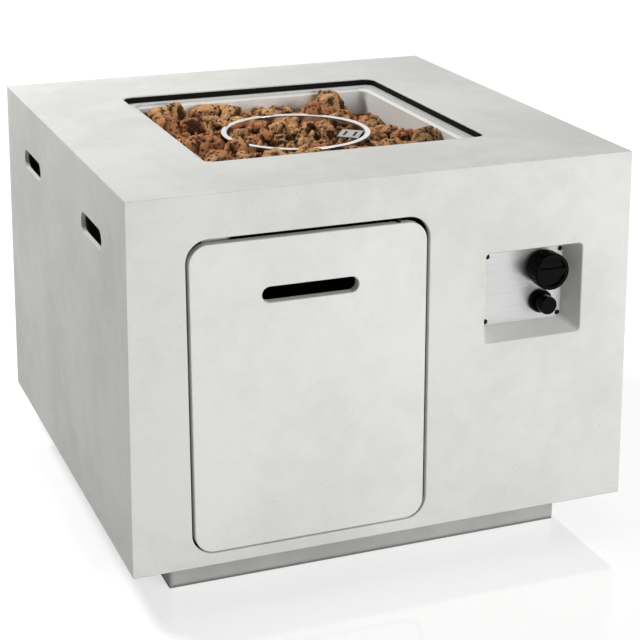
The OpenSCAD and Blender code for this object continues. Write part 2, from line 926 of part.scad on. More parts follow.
function band_faces(bands, sides) = [
    for (i = [0 : bands - 1], k = [0 : sides - 1], half = [0, 1])
        let (low = i * sides, high = low + sides, next = (k + 1) % sides)
        half == 0 ? [low + k, high + k, high + next] : [low + k, high + next, low + next]
];

module thermocouple_lead() {
    start = [valve_x, valve_back_y + probe_port[1], valve_z + probe_port_dz];
    end = [probe_at[0], probe_at[1], pan_under_z - probe_tail];
    color(copper)
        lead([start, start + [0, lead_pull, 0], end - [0, 0, lead_pull / 2], end], probe_lead_d);
}

module ignition_lead() {
    start = [valve_x, igniter_back_y, igniter_z];
    end = [spark_at[0], spark_at[1], pan_under_z - probe_tail];
    color(black)
        lead([start, start + [0, lead_pull, 0], end - [0, 0, lead_pull], end], spark_lead_d);
}

// Lava rock. Every stone keeps to its own cell: the planes halfway to the stones around it, and
// those of the pan, the bowl, the burner and the hood. A plane is [direction, distance from the site].

function planes_between(site, sites, pitch) = [
    for (other = sites)
        let (way = other - site, far = norm(way))
        if (far > 0 && far < 4 * pitch) [way / far, (far - stone_gap) / 2]
];

// Keeps a stone inside a round wall
function fence_inside(site, r) = [
    for (k = [0 : fence_sides - 1])
        let (way = [cos(360 * k / fence_sides), sin(360 * k / fence_sides)])
        [way, (r - stone_gap) * cos(180 / fence_sides) - way * site]
];

// Keeps a stone outside a round thing at a place
function fence_outside(site, place, r) =
    let (way = place - site, far = norm(way))
    [[way / far, far - r - stone_gap]];

// Keeps a stone inside a square wall with round corners
function fence_square(site, half, r) = concat(
    [for (way = [[1, 0], [-1, 0], [0, 1], [0, -1]]) [way, half - stone_gap - way * site]],
    [
        for (sx = [-1, 1], sy = [-1, 1])
            let (way = unit([sx, sy]))
            [way, (2 * half - r) / sqrt(2) - stone_gap - way * site]
    ]
);

function reach(way, planes, r) =
    min(concat([r], [for (p = planes) if (p[0] * way > 0.01) p[1] / (p[0] * way)]));

module stone(site, r, z0, z1, planes, seed) {
    bands = len(stone_rings) - 1;
    wild = rands(0, 1, 3 * stone_sides * (bands + 1), seed);
    points = [
        for (b = [0 : bands], k = [0 : stone_sides - 1])
            let (
                pick = 3 * (b * stone_sides + k),
                angle = 360 * (k + 0.5 * wild[3 * k + 2]) / stone_sides,
                way = [cos(angle), sin(angle)],
                out = reach(way, planes, r * stone_rings[b][1] * (0.82 + 0.36 * wild[pick])),
                share = stone_rings[b][0] + (b == 0 ? 0 : stone_lump * (wild[pick + 1] - 0.5))
            )
            [site[0] + out * way[0], site[1] + out * way[1], z0 + (z1 - z0) * share]
    ];
    top = len(points);
    crown = [
        for (k = [0 : stone_sides - 1])
            let (low = bands * stone_sides)
            [low + (k + 1) % stone_sides, low + k, top]
    ];
    faces = concat([[for (k = [0 : stone_sides - 1]) k]], band_faces(bands, stone_sides), crown);
    polyhedron(concat(points, [[site[0], site[1], z1]]), faces, convexity = 4);
}

// Moves a site that is too near a round thing straight out of it
function moved_out(site, place, r) =
    let (way = site - place, far = norm(way))
    far < r ? place + way * r / far : site;

// Sites around the bowl: a shaken square grid, without those well inside the bowl
outer_n = round(pan_in / rock_pitch);
outer_step = pan_in / outer_n;
outer_sites = [
    for (i = [0 : outer_n - 1], j = [0 : outer_n - 1])
        let (
            shake = rands(-rock_shake, rock_shake, 2, 100 * i + j + 5),
            even = [(i + 0.5) * outer_step - pan_in / 2, (j + 0.5) * outer_step - pan_in / 2],
            limit = pan_in / 2 - 0.35 * outer_step,
            site = [for (c = [0, 1]) max(-limit, min(limit, even[c] + shake[c]))]
        )
        if (norm(site) > bowl_r - 0.1 * outer_step) moved_out(site, [0, 0], bowl_r + 0.4 * outer_step)
];

module lava_rocks_outer() {
    color(stone_brown)
        for (n = [0 : len(outer_sites) - 1]) {
            site = outer_sites[n];
            luck = rands(0, 1, 2, 900 + n);
            rise = rock_spread * (luck[0] - 0.5) - rock_slope * site[0] / (pan_in / 2);
            beside_bowl = norm(site) < bowl_r + 0.75 * outer_step;
            top_limit = beside_bowl ? bowl_rim_z - rim_show * luck[1] : stone_top_limit;
            planes = concat(
                planes_between(site, outer_sites, outer_step),
                fence_square(site, pan_in / 2, pan_r),
                fence_outside(site, [0, 0], bowl_r)
            );
            stone(
                site, outer_step * (0.58 + 0.24 * luck[1]), pan_z + stone_floor_gap,
                min(top_limit, table_h - rock_drop + rise), planes, 300 + n
            );
        }
}

// Sites in the bowl: rings of one, six, twelve and eighteen, shaken and moved out from under the hood
inner_rings = floor((bowl_in_r - small_pitch * 0.4) / small_pitch);
inner_sites = [
    for (ring = [0 : inner_rings], k = [0 : max(0, 6 * ring - 1)])
        let (
            turn = 360 * (k + 0.3 * ring) / max(1, 6 * ring),
            shake = rands(-1, 1, 2, 700 + 50 * ring + k) * rock_shake / 4,
            far = ring * small_pitch - (ring == inner_rings ? 2 : 0),
            even = [far * cos(turn) + shake[0], far * sin(turn) + shake[1]],
            site = moved_out(even, hood_at, hood_clear_r + 0.4 * small_pitch)
        )
        if (
            norm(even - hood_at) > 0.6 * hood_clear_r
            && norm(site) < bowl_in_r - 0.35 * small_pitch
        )
            [site[0], site[1], ring]
];
inner_places = [for (s = inner_sites) [s[0], s[1]]];

module lava_rocks_inner() {
    inside_r = burner_r - burner_d / 2;
    outside_r = burner_r + burner_d / 2;
    color(stone_brown)
        for (n = [0 : len(inner_sites) - 1]) {
            site = inner_places[n];
            ring = inner_sites[n][2];
            luck = rands(0, 1, 2, 1900 + n);
            over_burner = ring == 2;
            sink = ring == inner_rings ? 12 : 5;
            z0 = (over_burner ? burner_top_z : bowl_floor_z) + stone_floor_gap;
            burner_planes = over_burner ? []
                : ring < 2 ? fence_inside(site, inside_r)
                : fence_outside(site, [0, 0], outside_r);
            planes = concat(
                planes_between(site, inner_places, small_pitch),
                fence_inside(site, bowl_in_r),
                fence_outside(site, hood_at, hood_clear_r),
                burner_planes
            );
            stone(
                site, small_pitch * (0.58 + 0.24 * luck[1]), z0,
                bowl_rim_z - sink + 11 * luck[0], planes, 1300 + n
            );
        }
}

// Control plate, valve and knob

module control_plate() {
    color(satin_steel)
        difference() {
            on_plate(0, 0)
                translate([0, 0, -plate_t])
                    linear_extrude(plate_t)
                        round_rect(plate_w, plate_h, plate_r);
            on_plate(control_dx, knob_dz)
                translate([0, 0, -plate_t - cut])
                    cylinder(d = nose_d + 2 * fit, h = plate_t + 2 * cut);
            on_plate(control_dx, -button_dz)
                translate([0, 0, -plate_t - cut])
                    cylinder(d = barrel_d + 2 * fit, h = plate_t + 2 * cut);
            at_plate_screws()
                translate([0, 0, -plate_t - cut])
                    cylinder(d = plate_screw_d + 2 * fit, h = plate_t + 2 * cut);
        }
}

module plate_screws() {
    color(black)
        at_plate_screws()
            head_screw(plate_screw_d, plate_screw_l, plate_screw_head[0], plate_screw_head[1]);
}

module gas_valve() {
    back = -plate_t - valve_deep;
    color(zinc)
        on_plate(control_dx, knob_dz)
            difference() {
                union() {
                    translate([0, 0, back])
                        linear_extrude(valve_deep)
                            round_rect(valve_w, valve_w, 4);
                    translate([0, 0, -plate_t - cut])
                        cylinder(d = nose_d, h = plate_t + cut + nose_l);
                    translate([0, outlet_dz, back - outlet_boss[1]])
                        cylinder(d = outlet_boss[0], h = outlet_boss[1] + cut);
                    translate([0, probe_port_dz, back - probe_port[1]])
                        cylinder(d = probe_port[0], h = probe_port[1] + cut);
                }
                translate([0, 0, chamber_z[0]])
                    cylinder(d = chamber_d, h = chamber_z[1] - chamber_z[0]);
                translate([0, 0, chamber_z[1] - cut])
                    cylinder(d = stem_d + 2 * running, h = nose_l - chamber_z[1] + 2 * cut);
                translate([0, outlet_dz, back - outlet_boss[1] - cut])
                    cylinder(d = pipe_d - 2, h = outlet_boss[1] + 3);
                translate([-valve_w, 0, -inlet_deep])
                    rotate([0, 90, 0])
                        cylinder(d = inlet_bore_d, h = valve_w);
            }
}

module valve_nut() {
    color(brass)
        on_plate(control_dx, knob_dz)
            linear_extrude(valve_nut_t)
                difference() {
                    hexagon(valve_nut_af);
                    circle(d = nose_d + 2 * fit);
                }
}

// Flare fitting that takes the supply hose, on the left of the valve
module valve_inlet() {
    color(brass)
        on_plate(control_dx - valve_w / 2, knob_dz)
            translate([0, 0, -inlet_deep])
                rotate([0, -90, 0])
                    difference() {
                        union() {
                            linear_extrude(inlet_hex[1])
                                hexagon(inlet_hex[0]);
                            cylinder(d = inlet_thread_d, h = inlet_hex[1] + inlet_thread_l);
                        }
                        translate([0, 0, -cut])
                            cylinder(d = inlet_bore_d, h = inlet_hex[1] + inlet_thread_l + 2 * cut);
                    }
}

plunger_face = chamber_z[1] - stem_collar[1] - 2 * seat_gap;

module valve_plunger() {
    color(brass)
        on_plate(control_dx, knob_dz)
            translate([0, 0, plunger_face - plunger_l])
                difference() {
                    cylinder(d = chamber_d - 2 * running, h = plunger_l);
                    translate([0, 0, plunger_l - stem_tail_l - cut])
                        cylinder(d = stem_tail_d + 2 * running, h = stem_tail_l + 2 * cut);
                }
}

module valve_stem() {
    collar_face = chamber_z[1] - seat_gap;
    collar_back = collar_face - stem_collar[1];
    color(zinc)
        on_plate(control_dx, knob_dz)
            difference() {
                union() {
                    translate([0, 0, collar_back - stem_tail_l])
                        cylinder(d = stem_tail_d, h = stem_tail_l + cut);
                    translate([0, 0, collar_back])
                        cylinder(d = stem_collar[0], h = stem_collar[1]);
                    translate([0, 0, collar_back])
                        cylinder(d = stem_d, h = stem_end - collar_back);
                }
                translate([stem_d / 2 - flat_depth, -stem_d, nose_l + cut])
                    cube([stem_d, 2 * stem_d, stem_end]);
            }
}

// Knob: a fluted cap on a narrower neck, with a dished face, a finger bar across the dish
// and a hollow over the nut
module control_knob() {
    r = knob_d / 2;
    neck_r = r - knob_waist;
    neck_l = knob_l / 4;
    dish_r = knob_dish[0];
    dish_z = knob_l - knob_dish[1];
    color(black)
        on_plate(control_dx, knob_dz)
            translate([0, 0, knob_rear])
                difference() {
                    union() {
                        rotate_extrude()
                            polygon([
                                [0, 0], [neck_r, 0], [neck_r, neck_l], [r, neck_l],
                                for (a = [0 : 22.5 : 90])
                                    [
                                        r - knob_edge_r + knob_edge_r * cos(a),
                                        knob_l - knob_edge_r + knob_edge_r * sin(a)
                                    ],
                                [dish_r, knob_l], [dish_r, dish_z], [0, dish_z]
                            ]);
                        intersection() {
                            translate([0, 0, dish_z - cut])
                                cylinder(r = dish_r + cut, h = knob_dish[1] + cut - fit);
                            translate([-r, -knob_bar_w / 2, 0])
                                cube([2 * r, knob_bar_w, 2 * knob_l]);
                        }
                    }
                    for (i = [0 : flute_n - 1])
                        rotate(360 * (i + 0.5) / flute_n)
                            translate([r + flute_r - flute_bite, 0, neck_l - cut])
                                cylinder(r = flute_r, h = knob_l);
                    translate([0, 0, -cut])
                        cylinder(d = knob_hollow[0], h = knob_hollow[1] + cut);
                    difference() {
                        cylinder(d = stem_d + 2 * running, h = stem_end - knob_rear + fit);
                        translate([stem_d / 2 - flat_depth + fit, -stem_d, -cut])
                            cube([stem_d, 2 * stem_d, knob_l]);
                    }
                }
}

// Igniter

module igniter_body() {
    color(black)
        on_plate(control_dx, -button_dz)
            difference() {
                union() {
                    cylinder(d = bezel[0], h = bezel[1]);
                    translate([0, 0, -barrel_l])
                        cylinder(d = barrel_d, h = barrel_l + cut);
                    translate([0, 0, -barrel_l - terminal[1]])
                        cylinder(d = terminal[0], h = terminal[1] + cut);
                }
                translate([0, 0, -button_bore_deep])
                    cylinder(d = button_d + 2 * running, h = button_bore_deep + bezel[1] + cut);
            }
}

module igniter_nut() {
    color(black)
        on_plate(control_dx, -button_dz)
            translate([0, 0, -plate_t - igniter_nut_t])
                linear_extrude(igniter_nut_t)
                    difference() {
                        hexagon(igniter_nut_af);
                        circle(d = barrel_d + 2 * fit);
                    }
}

module igniter_button() {
    r = button_d / 2;
    e = button_edge_r;
    color(black)
        on_plate(control_dx, -button_dz)
            rotate_extrude()
                polygon([
                    [0, -button_tail], [r, -button_tail],
                    for (a = [0 : 22.5 : 90])
                        [r - e + e * cos(a), button_l - e + e * sin(a)],
                    [0, button_l]
                ]);
}

// Door, its pivots and its catch

module door_panel() {
    color(concrete)
        difference() {
            intersection() {
                shell_block();
                translate([door_x, 0, (door_z0 + door_z1) / 2])
                    from_front(front_y, inner_front_y)
                        round_rect(door_w, door_h, door_r);
            }
            translate([door_x, 0, door_z1 - hand_slot_drop])
                from_front(front_y - cut, inner_front_y + cut)
                    round_slot(hand_slot_l, hand_slot_h);
            for (z = [door_z0 - cut, door_z1 - pin_grip])
                translate([pivot_x, pivot_y, z])
                    cylinder(d = pin_d + 2 * running, h = pin_grip + cut);
            translate([catch_x, inner_front_y, strike_z])
                cube([strike[0] + 2 * fit, 2 * strike[2], strike[1] + 2 * fit], center = true);
        }
}

// The lower pin stands in its cup and carries the door
module door_pins() {
    low_pin_z = bay_floor_z - bush_l + bush_floor + seat_gap;
    color(black)
        translate([pivot_x, pivot_y, 0]) {
            translate([0, 0, low_pin_z])
                cylinder(d = pin_d, h = door_z0 + pin_grip - low_pin_z);
            translate([0, 0, door_z1 - pin_grip])
                cylinder(d = pin_d, h = pin_grip + door_top_gap + top_pin_reach);
        }
}

// Cup that takes the end of a pin: its mouth at z = 0, its floor below
module door_bush() {
    difference() {
        translate([0, 0, -bush_l])
            cylinder(d = bush_d, h = bush_l);
        translate([0, 0, bush_floor - bush_l])
            cylinder(d = pin_d + 2 * running, h = bush_l);
    }
}

module door_bushes() {
    color(black) {
        translate([pivot_x, pivot_y, bay_floor_z])
            door_bush();
        translate([pivot_x, pivot_y, lintel_z])
            mirror([0, 0, 1])
                door_bush();
    }
}

module door_strike() {
    color(zinc)
        translate([catch_x, inner_front_y - strike[2] / 2, strike_z])
            cube([strike[0], strike[2], strike[1]], center = true);
}

magnet_back_y = inner_front_y + seat_gap + magnet[1];

module door_magnet() {
    color(zinc)
        translate([catch_x, magnet_back_y - magnet[1] / 2, strike_z])
            cube(magnet, center = true);
}

// Stepped bracket: a flange on the lintel, a web back over the magnet and an arm down behind it
module catch_bracket() {
    arm_z = strike_z - magnet[2] / 2;
    web_z = lintel_z + catch_rise;
    arm_y = magnet_back_y + catch_sheet;
    color(zinc)
        difference() {
            from_side(catch_x - catch_w / 2, catch_x + catch_w / 2)
                polygon([
                    [inner_front_y, web_z - catch_sheet], [magnet_back_y, web_z - catch_sheet],
                    [magnet_back_y, arm_z], [arm_y, arm_z],
                    [arm_y, web_z], [inner_front_y + catch_sheet, web_z],
                    [inner_front_y + catch_sheet, web_z + catch_flange],
                    [inner_front_y, web_z + catch_flange]
                ]);
            at_catch_screws()
                translate([0, 0, -catch_sheet - cut])
                    cylinder(d = catch_screw_d + fit, h = catch_sheet + 2 * cut);
        }
}

module catch_screws() {
    color(zinc)
        at_catch_screws()
            head_screw(catch_screw_d, catch_screw_l, 2 * catch_screw_d, catch_screw_d / 2);
}

body_shell();
plinth();
plinth_bolts();
tank_tray();
tank_ring();
pan_gasket();
burner_pan();
burner_bowl();
ring_burner();
burner_nut();
mixer_tube();
orifice_fitting();
gas_pipe();
pipe_nuts();
pilot_hood();
thermocouple();
spark_electrode();
thermocouple_lead();
ignition_lead();
lava_rocks_outer();
lava_rocks_inner();
control_plate();
plate_screws();
gas_valve();
valve_nut();
valve_inlet();
valve_plunger();
valve_stem();
control_knob();
igniter_body();
igniter_nut();
igniter_button();
door_panel();
door_pins();
door_bushes();
door_strike();
catch_bracket();
door_magnet();
catch_screws();
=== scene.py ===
"""Finishes a gas fire pit table: cast concrete, steel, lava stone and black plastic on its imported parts.

Each operator makes one piece or a group of like pieces, and the last one sets the stage.
Sizes are in metres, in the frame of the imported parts: +X right, +Y back, +Z up from the floor.
"""

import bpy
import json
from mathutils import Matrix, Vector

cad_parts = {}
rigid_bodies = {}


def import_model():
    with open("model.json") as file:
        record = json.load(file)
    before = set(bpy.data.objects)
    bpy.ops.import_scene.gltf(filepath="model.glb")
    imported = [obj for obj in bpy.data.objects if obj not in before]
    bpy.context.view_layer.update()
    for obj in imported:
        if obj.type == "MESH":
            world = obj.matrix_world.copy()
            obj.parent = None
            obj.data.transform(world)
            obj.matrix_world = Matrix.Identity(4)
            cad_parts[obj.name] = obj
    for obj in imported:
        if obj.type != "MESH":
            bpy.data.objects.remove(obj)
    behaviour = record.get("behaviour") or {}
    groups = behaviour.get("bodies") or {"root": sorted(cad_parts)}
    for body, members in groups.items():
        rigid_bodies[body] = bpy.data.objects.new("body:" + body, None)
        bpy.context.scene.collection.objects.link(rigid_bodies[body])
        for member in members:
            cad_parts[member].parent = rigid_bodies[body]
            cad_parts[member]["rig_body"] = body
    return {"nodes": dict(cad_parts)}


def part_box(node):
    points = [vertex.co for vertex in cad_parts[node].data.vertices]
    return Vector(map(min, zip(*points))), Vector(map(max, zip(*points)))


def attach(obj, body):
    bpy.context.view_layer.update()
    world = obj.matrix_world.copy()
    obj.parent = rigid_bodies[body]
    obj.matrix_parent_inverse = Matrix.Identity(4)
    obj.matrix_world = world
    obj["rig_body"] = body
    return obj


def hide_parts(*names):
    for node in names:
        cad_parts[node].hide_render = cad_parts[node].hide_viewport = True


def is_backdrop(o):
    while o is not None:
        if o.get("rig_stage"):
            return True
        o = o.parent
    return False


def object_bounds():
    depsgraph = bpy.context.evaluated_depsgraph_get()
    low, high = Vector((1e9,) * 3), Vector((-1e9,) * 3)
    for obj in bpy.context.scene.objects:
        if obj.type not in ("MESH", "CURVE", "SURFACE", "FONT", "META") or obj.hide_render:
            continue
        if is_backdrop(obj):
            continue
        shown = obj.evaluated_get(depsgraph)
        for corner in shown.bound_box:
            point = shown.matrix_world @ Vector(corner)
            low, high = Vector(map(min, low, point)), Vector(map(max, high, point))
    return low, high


bl_info = {
    "name": "Fire Pit Table",
    "version": (1, 0, 0),
    "blender": (4, 5, 0),
    "location": "View3D > Sidebar > Fire Pit",
    "description": "Finishes the cast, steel, stone and plastic pieces of a gas fire pit table",
    "category": "Object",
}

import json
import math

import bmesh
import bpy
from bpy.props import FloatProperty, FloatVectorProperty, IntProperty, PointerProperty
from mathutils import Matrix, Vector

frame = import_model()
NODES = frame["nodes"]
CAD_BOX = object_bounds()

# Points closer than this are joined, and faces that turn by less than this become one.
JOIN = 2e-6
FLAT = math.radians(0.3)
# Sides of a part's box, as the number of the axis and of its end, 0 for the low one.
FRONT = (1, 0)
TOP = (2, 1)
# How far below a side of the box a rim may lie, and the room that a bend needs, in radii.
RIM_DEPTH = 0.008
RIM_ROOM = 1.3
# Least turn of a rounded edge, in degrees: in general, on the pan and on the bowl.
SHARP = 34.0
SHARP_PAN = 20.0
SHARP_BOWL = 40.0
# Faces across a rounding, and the rounding of sheet and of thinner edges.
ROUND_FACES = 2
SHEET_EDGE = 0.0004
FINE_EDGE = 0.0003
# Thickness of the shell's top, and the width of the pale wall around the control plate.
TOP_SLAB = 0.018
POCKET_LIP = 0.03
# The painted shade on the pan's rim, under the edge of the top's opening, begins and is full this far below
# its top.
RIM_BEGINS = 0.004
RIM_FULL = 0.002
# Distance from the bowl at which stones begin to grow, and at which they grow freely.
GROWTH_BEGINS = 0.012
GROWTH_FREE = 0.036
# Share of the outer bed's growth that the stones inside the bowl have.
INNER_GROWTH = 0.3
# Shift of a stone's pattern per unit of tint, and what the growth adds to the seed.
TINT_SHIFT = 7.0
GROWTH_SEED = 17.0
# Length and depth of a screw's cross recess, as shares of the head's diameter and height.
RECESS_ARM = 0.55
RECESS_DEPTH = 1.1
# Half the floor's width, and the lamps' places, sizes and target.
FLOOR_REACH = 9.0
KEY_PLACE = (1.3, -3.15, 1.1)
KEY_SIZE = (2.2, 1.4)
FILL_PLACE = (-1.2, 1.05, 2.4)
FILL_SIZE = (0.7, 0.7)
LIT_POINT = (0.0, 0.0, 0.35)
# Width of the camera's sensor in millimetres.
SENSOR_WIDTH = 36.0

ORIGIN = (0.0, 0.0, 0.0)
LEVEL = (1.0, 1.0, 0.0)
WHITE = (1.0, 1.0, 1.0, 1.0)
SHADER = "Principled BSDF"
SOCKETS = {float: "NodeSocketFloat", int: "NodeSocketInt", tuple: "NodeSocketVector"}


# Sizes and colours that a user may change


def tone(name, description, default):
    """A colour property."""
    return FloatVectorProperty(
        name=name, description=description, default=default, subtype="COLOR", size=3, min=0.0, max=1.0
    )


def length(name, description, default):
    """A length property, in metres."""
    return FloatProperty(
        name=name, description=description, default=default, unit="LENGTH", min=0.0, precision=5
    )


def amount(name, description, default, low=0.0, high=1.0):
    """A property that is a plain number."""
    return FloatProperty(name=name, description=description, default=default, min=low, max=high)


class CastFinish(bpy.types.PropertyGroup):
    """Fibre concrete of the shell, the plinth and the door"""

    pale: tone("Pale tone", "Colour of the pale clouds in the concrete", (0.735, 0.74, 0.705))
    grey: tone("Grey tone", "Colour of the grey clouds in the concrete", (0.662, 0.665, 0.634))
    # Painted shade: the plinth's darker tone also stands for the shade under the body's overhang.
    foot: tone("Foot tone", "Colour of the plinth, a darker tone which also paints the shade under the body's overhang", (0.48, 0.482, 0.462))
    door_pale: tone("Door tone", "Pale colour of the door, which was cast apart", (0.785, 0.79, 0.755))
    # Painted shade: the inside of the shell, seen through the slots and the door's gaps, gets this dark
    # tone.
    raw: tone("Inside shade tone", "Painted shade on the inside of the shell", (0.13, 0.13, 0.124))
    lean: length("Lean", "How far the shell's faces lean in towards the top", 0.007)
    skin: length("Skin", "Depth of the pale skin on the edges of the openings", 0.005)
    cloud: length("Cloud size", "Width of a cloud in the concrete's colour", 0.22)
    speck: length("Speck size", "Width of a grain of the mix", 0.0022)
    pore: length("Pore spacing", "Distance between the air holes in the skin", 0.016)
    edge: length("Edge radius", "Rounding of the rims of the casting", 0.0015)


class StoneFinish(bpy.types.PropertyGroup):
    """Lava stone in the pan and in the bowl"""

    red: tone("Red", "Reddish brown of the burnt stones", (0.6, 0.25, 0.115))
    brown: tone("Brown", "Earth brown of the plain stones", (0.72, 0.37, 0.172))
    tan: tone("Tan", "Pale dusty brown on the high places", (0.88, 0.54, 0.275))
    # Painted shade in the pores and clefts of the stones.
    deep: tone("Deep", "Painted shade in the pores and clefts", (0.02, 0.009, 0.005))
    # Painted shade and sooting: each stone is darkened towards its bottom with this black.
    black: tone("Black", "Soot and painted shade low on each stone", (0.008, 0.005, 0.004))
    lump: length("Lump size", "Width of the lumps of a stone", 0.024)
    lump_depth: length("Lump depth", "Height of the lumps", 0.003)
    chip: length("Chip size", "Width of the broken faces on a stone", 0.02)
    chip_tilt: amount("Chip tilt", "Slope of the broken faces", 0.72, high=2.0)
    pore: length("Pore size", "Distance between the gas pores", 0.0062)
    pore_depth: length("Pore depth", "Depth of the gas pores", 0.0015)
    shrink: length("Shrink", "How far a stone draws back from its neighbours", 0.0008)
    growth: amount("Growth", "Most that a stone of the outer bed grows in height", 0.85, high=2.0)
    spread: amount("Spread", "How much wider a stone of the outer bed becomes", 0.14)
    stray: length("Stray", "How far a stone of the outer bed moves from its place", 0.0035)
    below_top: length("Below the top", "How far the highest stones stay under the table's top", 0.003)
    soot_and_shade: amount("Soot", "Share of a stone's height up to which it is sooty", 0.6)
    crease: amount("Crease", "How sharp the corners of a stone stay", 0.8)
    levels: IntProperty(
        name="Levels", description="How often each stone's faces are divided", default=3, min=1, max=4
    )
    keep: amount("Keep", "Share of the divided stones' faces that is kept", 0.7, low=0.1)
    seed: IntProperty(name="Seed", description="Changes the lumps and tints of all stones", default=4, min=0)


class MetalFinish(bpy.types.PropertyGroup):
    """Steel, brass and copper"""

    pan: tone("Pan", "Pale bead-blasted steel of the pan", (0.86, 0.872, 0.845))
    # Painted shade on the pan's rim, under the edge of the top's opening.
    rim: tone("Rim", "Painted shade on the pan's rim under the edge of the top's opening", (0.66, 0.669, 0.648))
    plate: tone("Plate", "Satin steel of the control plate", (0.4, 0.402, 0.4))
    # Sooting and painted shade on the pan's floor and low on its walls.
    soot_and_shade: tone("Soot", "Smoke and painted shade on the floor of the pan", (0.06, 0.052, 0.046))
    soot_and_shade_height: length("Soot height", "How far the smoke reaches up the pan's walls", 0.014)
    bowl: tone("Bowl", "Bright steel of the burner bowl", (0.8, 0.8, 0.79))
    hood: tone("Hood", "Brushed steel of the pilot hood", (0.46, 0.46, 0.45))
    zinc: tone("Zinc", "Zinc plated steel", (0.56, 0.57, 0.575))
    brass: tone("Brass", "Machined brass", (0.68, 0.49, 0.22))
    copper: tone("Copper", "Drawn copper", (0.7, 0.38, 0.24))
    fold: length("Fold radius", "Rounding of the pan's rim", 0.0003)


class PlasticFinish(bpy.types.PropertyGroup):
    """Black knob, igniter, bushes and gasket, and white ceramic"""

    black: tone("Black", "Moulded black plastic", (0.0012, 0.0012, 0.0012))
    # On the gasket this black also paints the shade under the edge of the top's opening.
    rubber: tone("Rubber", "Black rubber of the gasket, whose black also paints the shade under the edge of the top's opening", (0.005, 0.005, 0.005))
    white: tone("White", "White glazed ceramic", (0.8, 0.785, 0.74))
    edge: length("Edge radius", "Rounding of the plastic pieces' edges", 0.0007)


class StageSetup(bpy.types.PropertyGroup):
    """Floor, lamps and camera"""

    floor: tone("Floor", "Colour of the floor", (0.5, 0.5, 0.5))
    glow: amount("Floor glow", "White that the floor shows beside its own colour", 0.63, high=10.0)
    sky: amount("Sky", "Strength of the even light from all round", 0.16, high=10.0)
    key: amount("Key", "Power of the large lamp at the front right", 82.0, high=1000.0)
    fill: amount("Fill", "Power of the high lamp at the back left", 56.0, high=1000.0)
    place: FloatVectorProperty(
        name="Camera place",
        description="Where the camera stands",
        default=(-0.8398, -2.2323, 1.1178),
        unit="LENGTH",
    )
    heading: amount("Heading", "Turn of the camera from the table's front", -21.479, -180.0, 180.0)
    height: amount("Elevation", "How far the camera looks down", 17.929, -90.0, 90.0)
    roll: amount("Roll", "Turn of the camera about its own line of sight", 0.211, -180.0, 180.0)
    lens: amount("Lens", "Focal length in millimetres", 95.07, 1.0, 1000.0)
    shift: amount("Shift", "Upward shift of the lens, in picture widths", -0.1, -1.0, 1.0)


class FirePitSettings(bpy.types.PropertyGroup):
    """All settings of the fire pit table"""

    cast: PointerProperty(type=CastFinish)
    stone: PointerProperty(type=StoneFinish)
    metal: PointerProperty(type=MetalFinish)
    plastic: PointerProperty(type=PlasticFinish)
    stage: PointerProperty(type=StageSetup)


def settings():
    return bpy.context.scene.fire_pit


# Building of node trees


def spaced(named):
    """Keyword arguments under names with a space for each _."""
    return {name.replace("_", " "): value for name, value in named.items()}


def set_inputs(tree, node, inputs):
    """Sets a node's inputs, by name or number, to values or joins them to sockets."""
    for key, value in inputs.items():
        socket = node.inputs[key]
        if isinstance(value, bpy.types.NodeSocket):
            tree.links.new(value, socket)
        else:
            socket.default_value = value


def add(tree, kind, inputs=None, **attributes):
    """Adds a node with its attributes and inputs."""
    node = tree.nodes.new(kind)
    for name, value in attributes.items():
        setattr(node, name, value)
    set_inputs(tree, node, inputs or {})
    return node


def calc(tree, operation, a, b=0.0):
    """One step of arithmetic."""
    return add(tree, "ShaderNodeMath", {0: a, 1: b}, operation=operation).outputs[0]


def times(tree, first, *others):
    """The product of numbers."""
    for other in others:
        first = calc(tree, "MULTIPLY", first, other)
    return first


def weigh(tree, a, share_a, b, share_b):
    """The sum of two numbers, each times its share."""
    return calc(tree, "ADD", times(tree, a, share_a), times(tree, b, share_b))


def per_metre(tree, size):
    """How many of that size lie in a metre."""
    return calc(tree, "DIVIDE", 1.0, size)


def farthest(tree, x, y):
    """The larger of two distances from the middle."""
    return calc(tree, "MAXIMUM", calc(tree, "ABSOLUTE", x), calc(tree, "ABSOLUTE", y))


def beyond(tree, value, middle, limit):
    """One where a value is further than the limit from the middle."""
    gap = calc(tree, "ABSOLUTE", calc(tree, "SUBTRACT", value, middle))
    return calc(tree, "GREATER_THAN", gap, limit)


def vector(tree, operation, a, b):
    """One step of vector arithmetic."""
    return add(tree, "ShaderNodeVectorMath", {0: a, 1: b}, operation=operation).outputs[0]


def measure(tree, operation, a, b=ORIGIN):
    """A number from vectors, such as a length."""
    return add(tree, "ShaderNodeVectorMath", {0: a, 1: b}, operation=operation).outputs["Value"]


def scaled(tree, value, factor):
    """A vector times a number."""
    return add(tree, "ShaderNodeVectorMath", {0: value, "Scale": factor}, operation="SCALE").outputs[0]


def joined(tree, x=0.0, y=0.0, z=0.0):
    """A vector from its three numbers."""
    return add(tree, "ShaderNodeCombineXYZ", {0: x, 1: y, 2: z}).outputs[0]


def split(tree, value):
    """The three numbers of a vector."""
    return add(tree, "ShaderNodeSeparateXYZ", {0: value}).outputs


def span(tree, value, low, high, to_low=0.0, to_high=1.0, smooth=False):
    """Carries a value from one range to another and keeps it inside."""
    inputs = {"Value": value, "From Min": low, "From Max": high, "To Min": to_low, "To Max": to_high}
    kind = "SMOOTHSTEP" if smooth else "LINEAR"
    return add(tree, "ShaderNodeMapRange", inputs, interpolation_type=kind).outputs["Result"]


def blend_colours(tree, share, a, b):
    """A mix of two colours, with the share of the second."""
    a, b = (c if isinstance(c, bpy.types.NodeSocket) else (*c, 1.0) for c in (a, b))
    return add(tree, "ShaderNodeMix", {0: share, 6: a, 7: b}, data_type="RGBA").outputs[2]


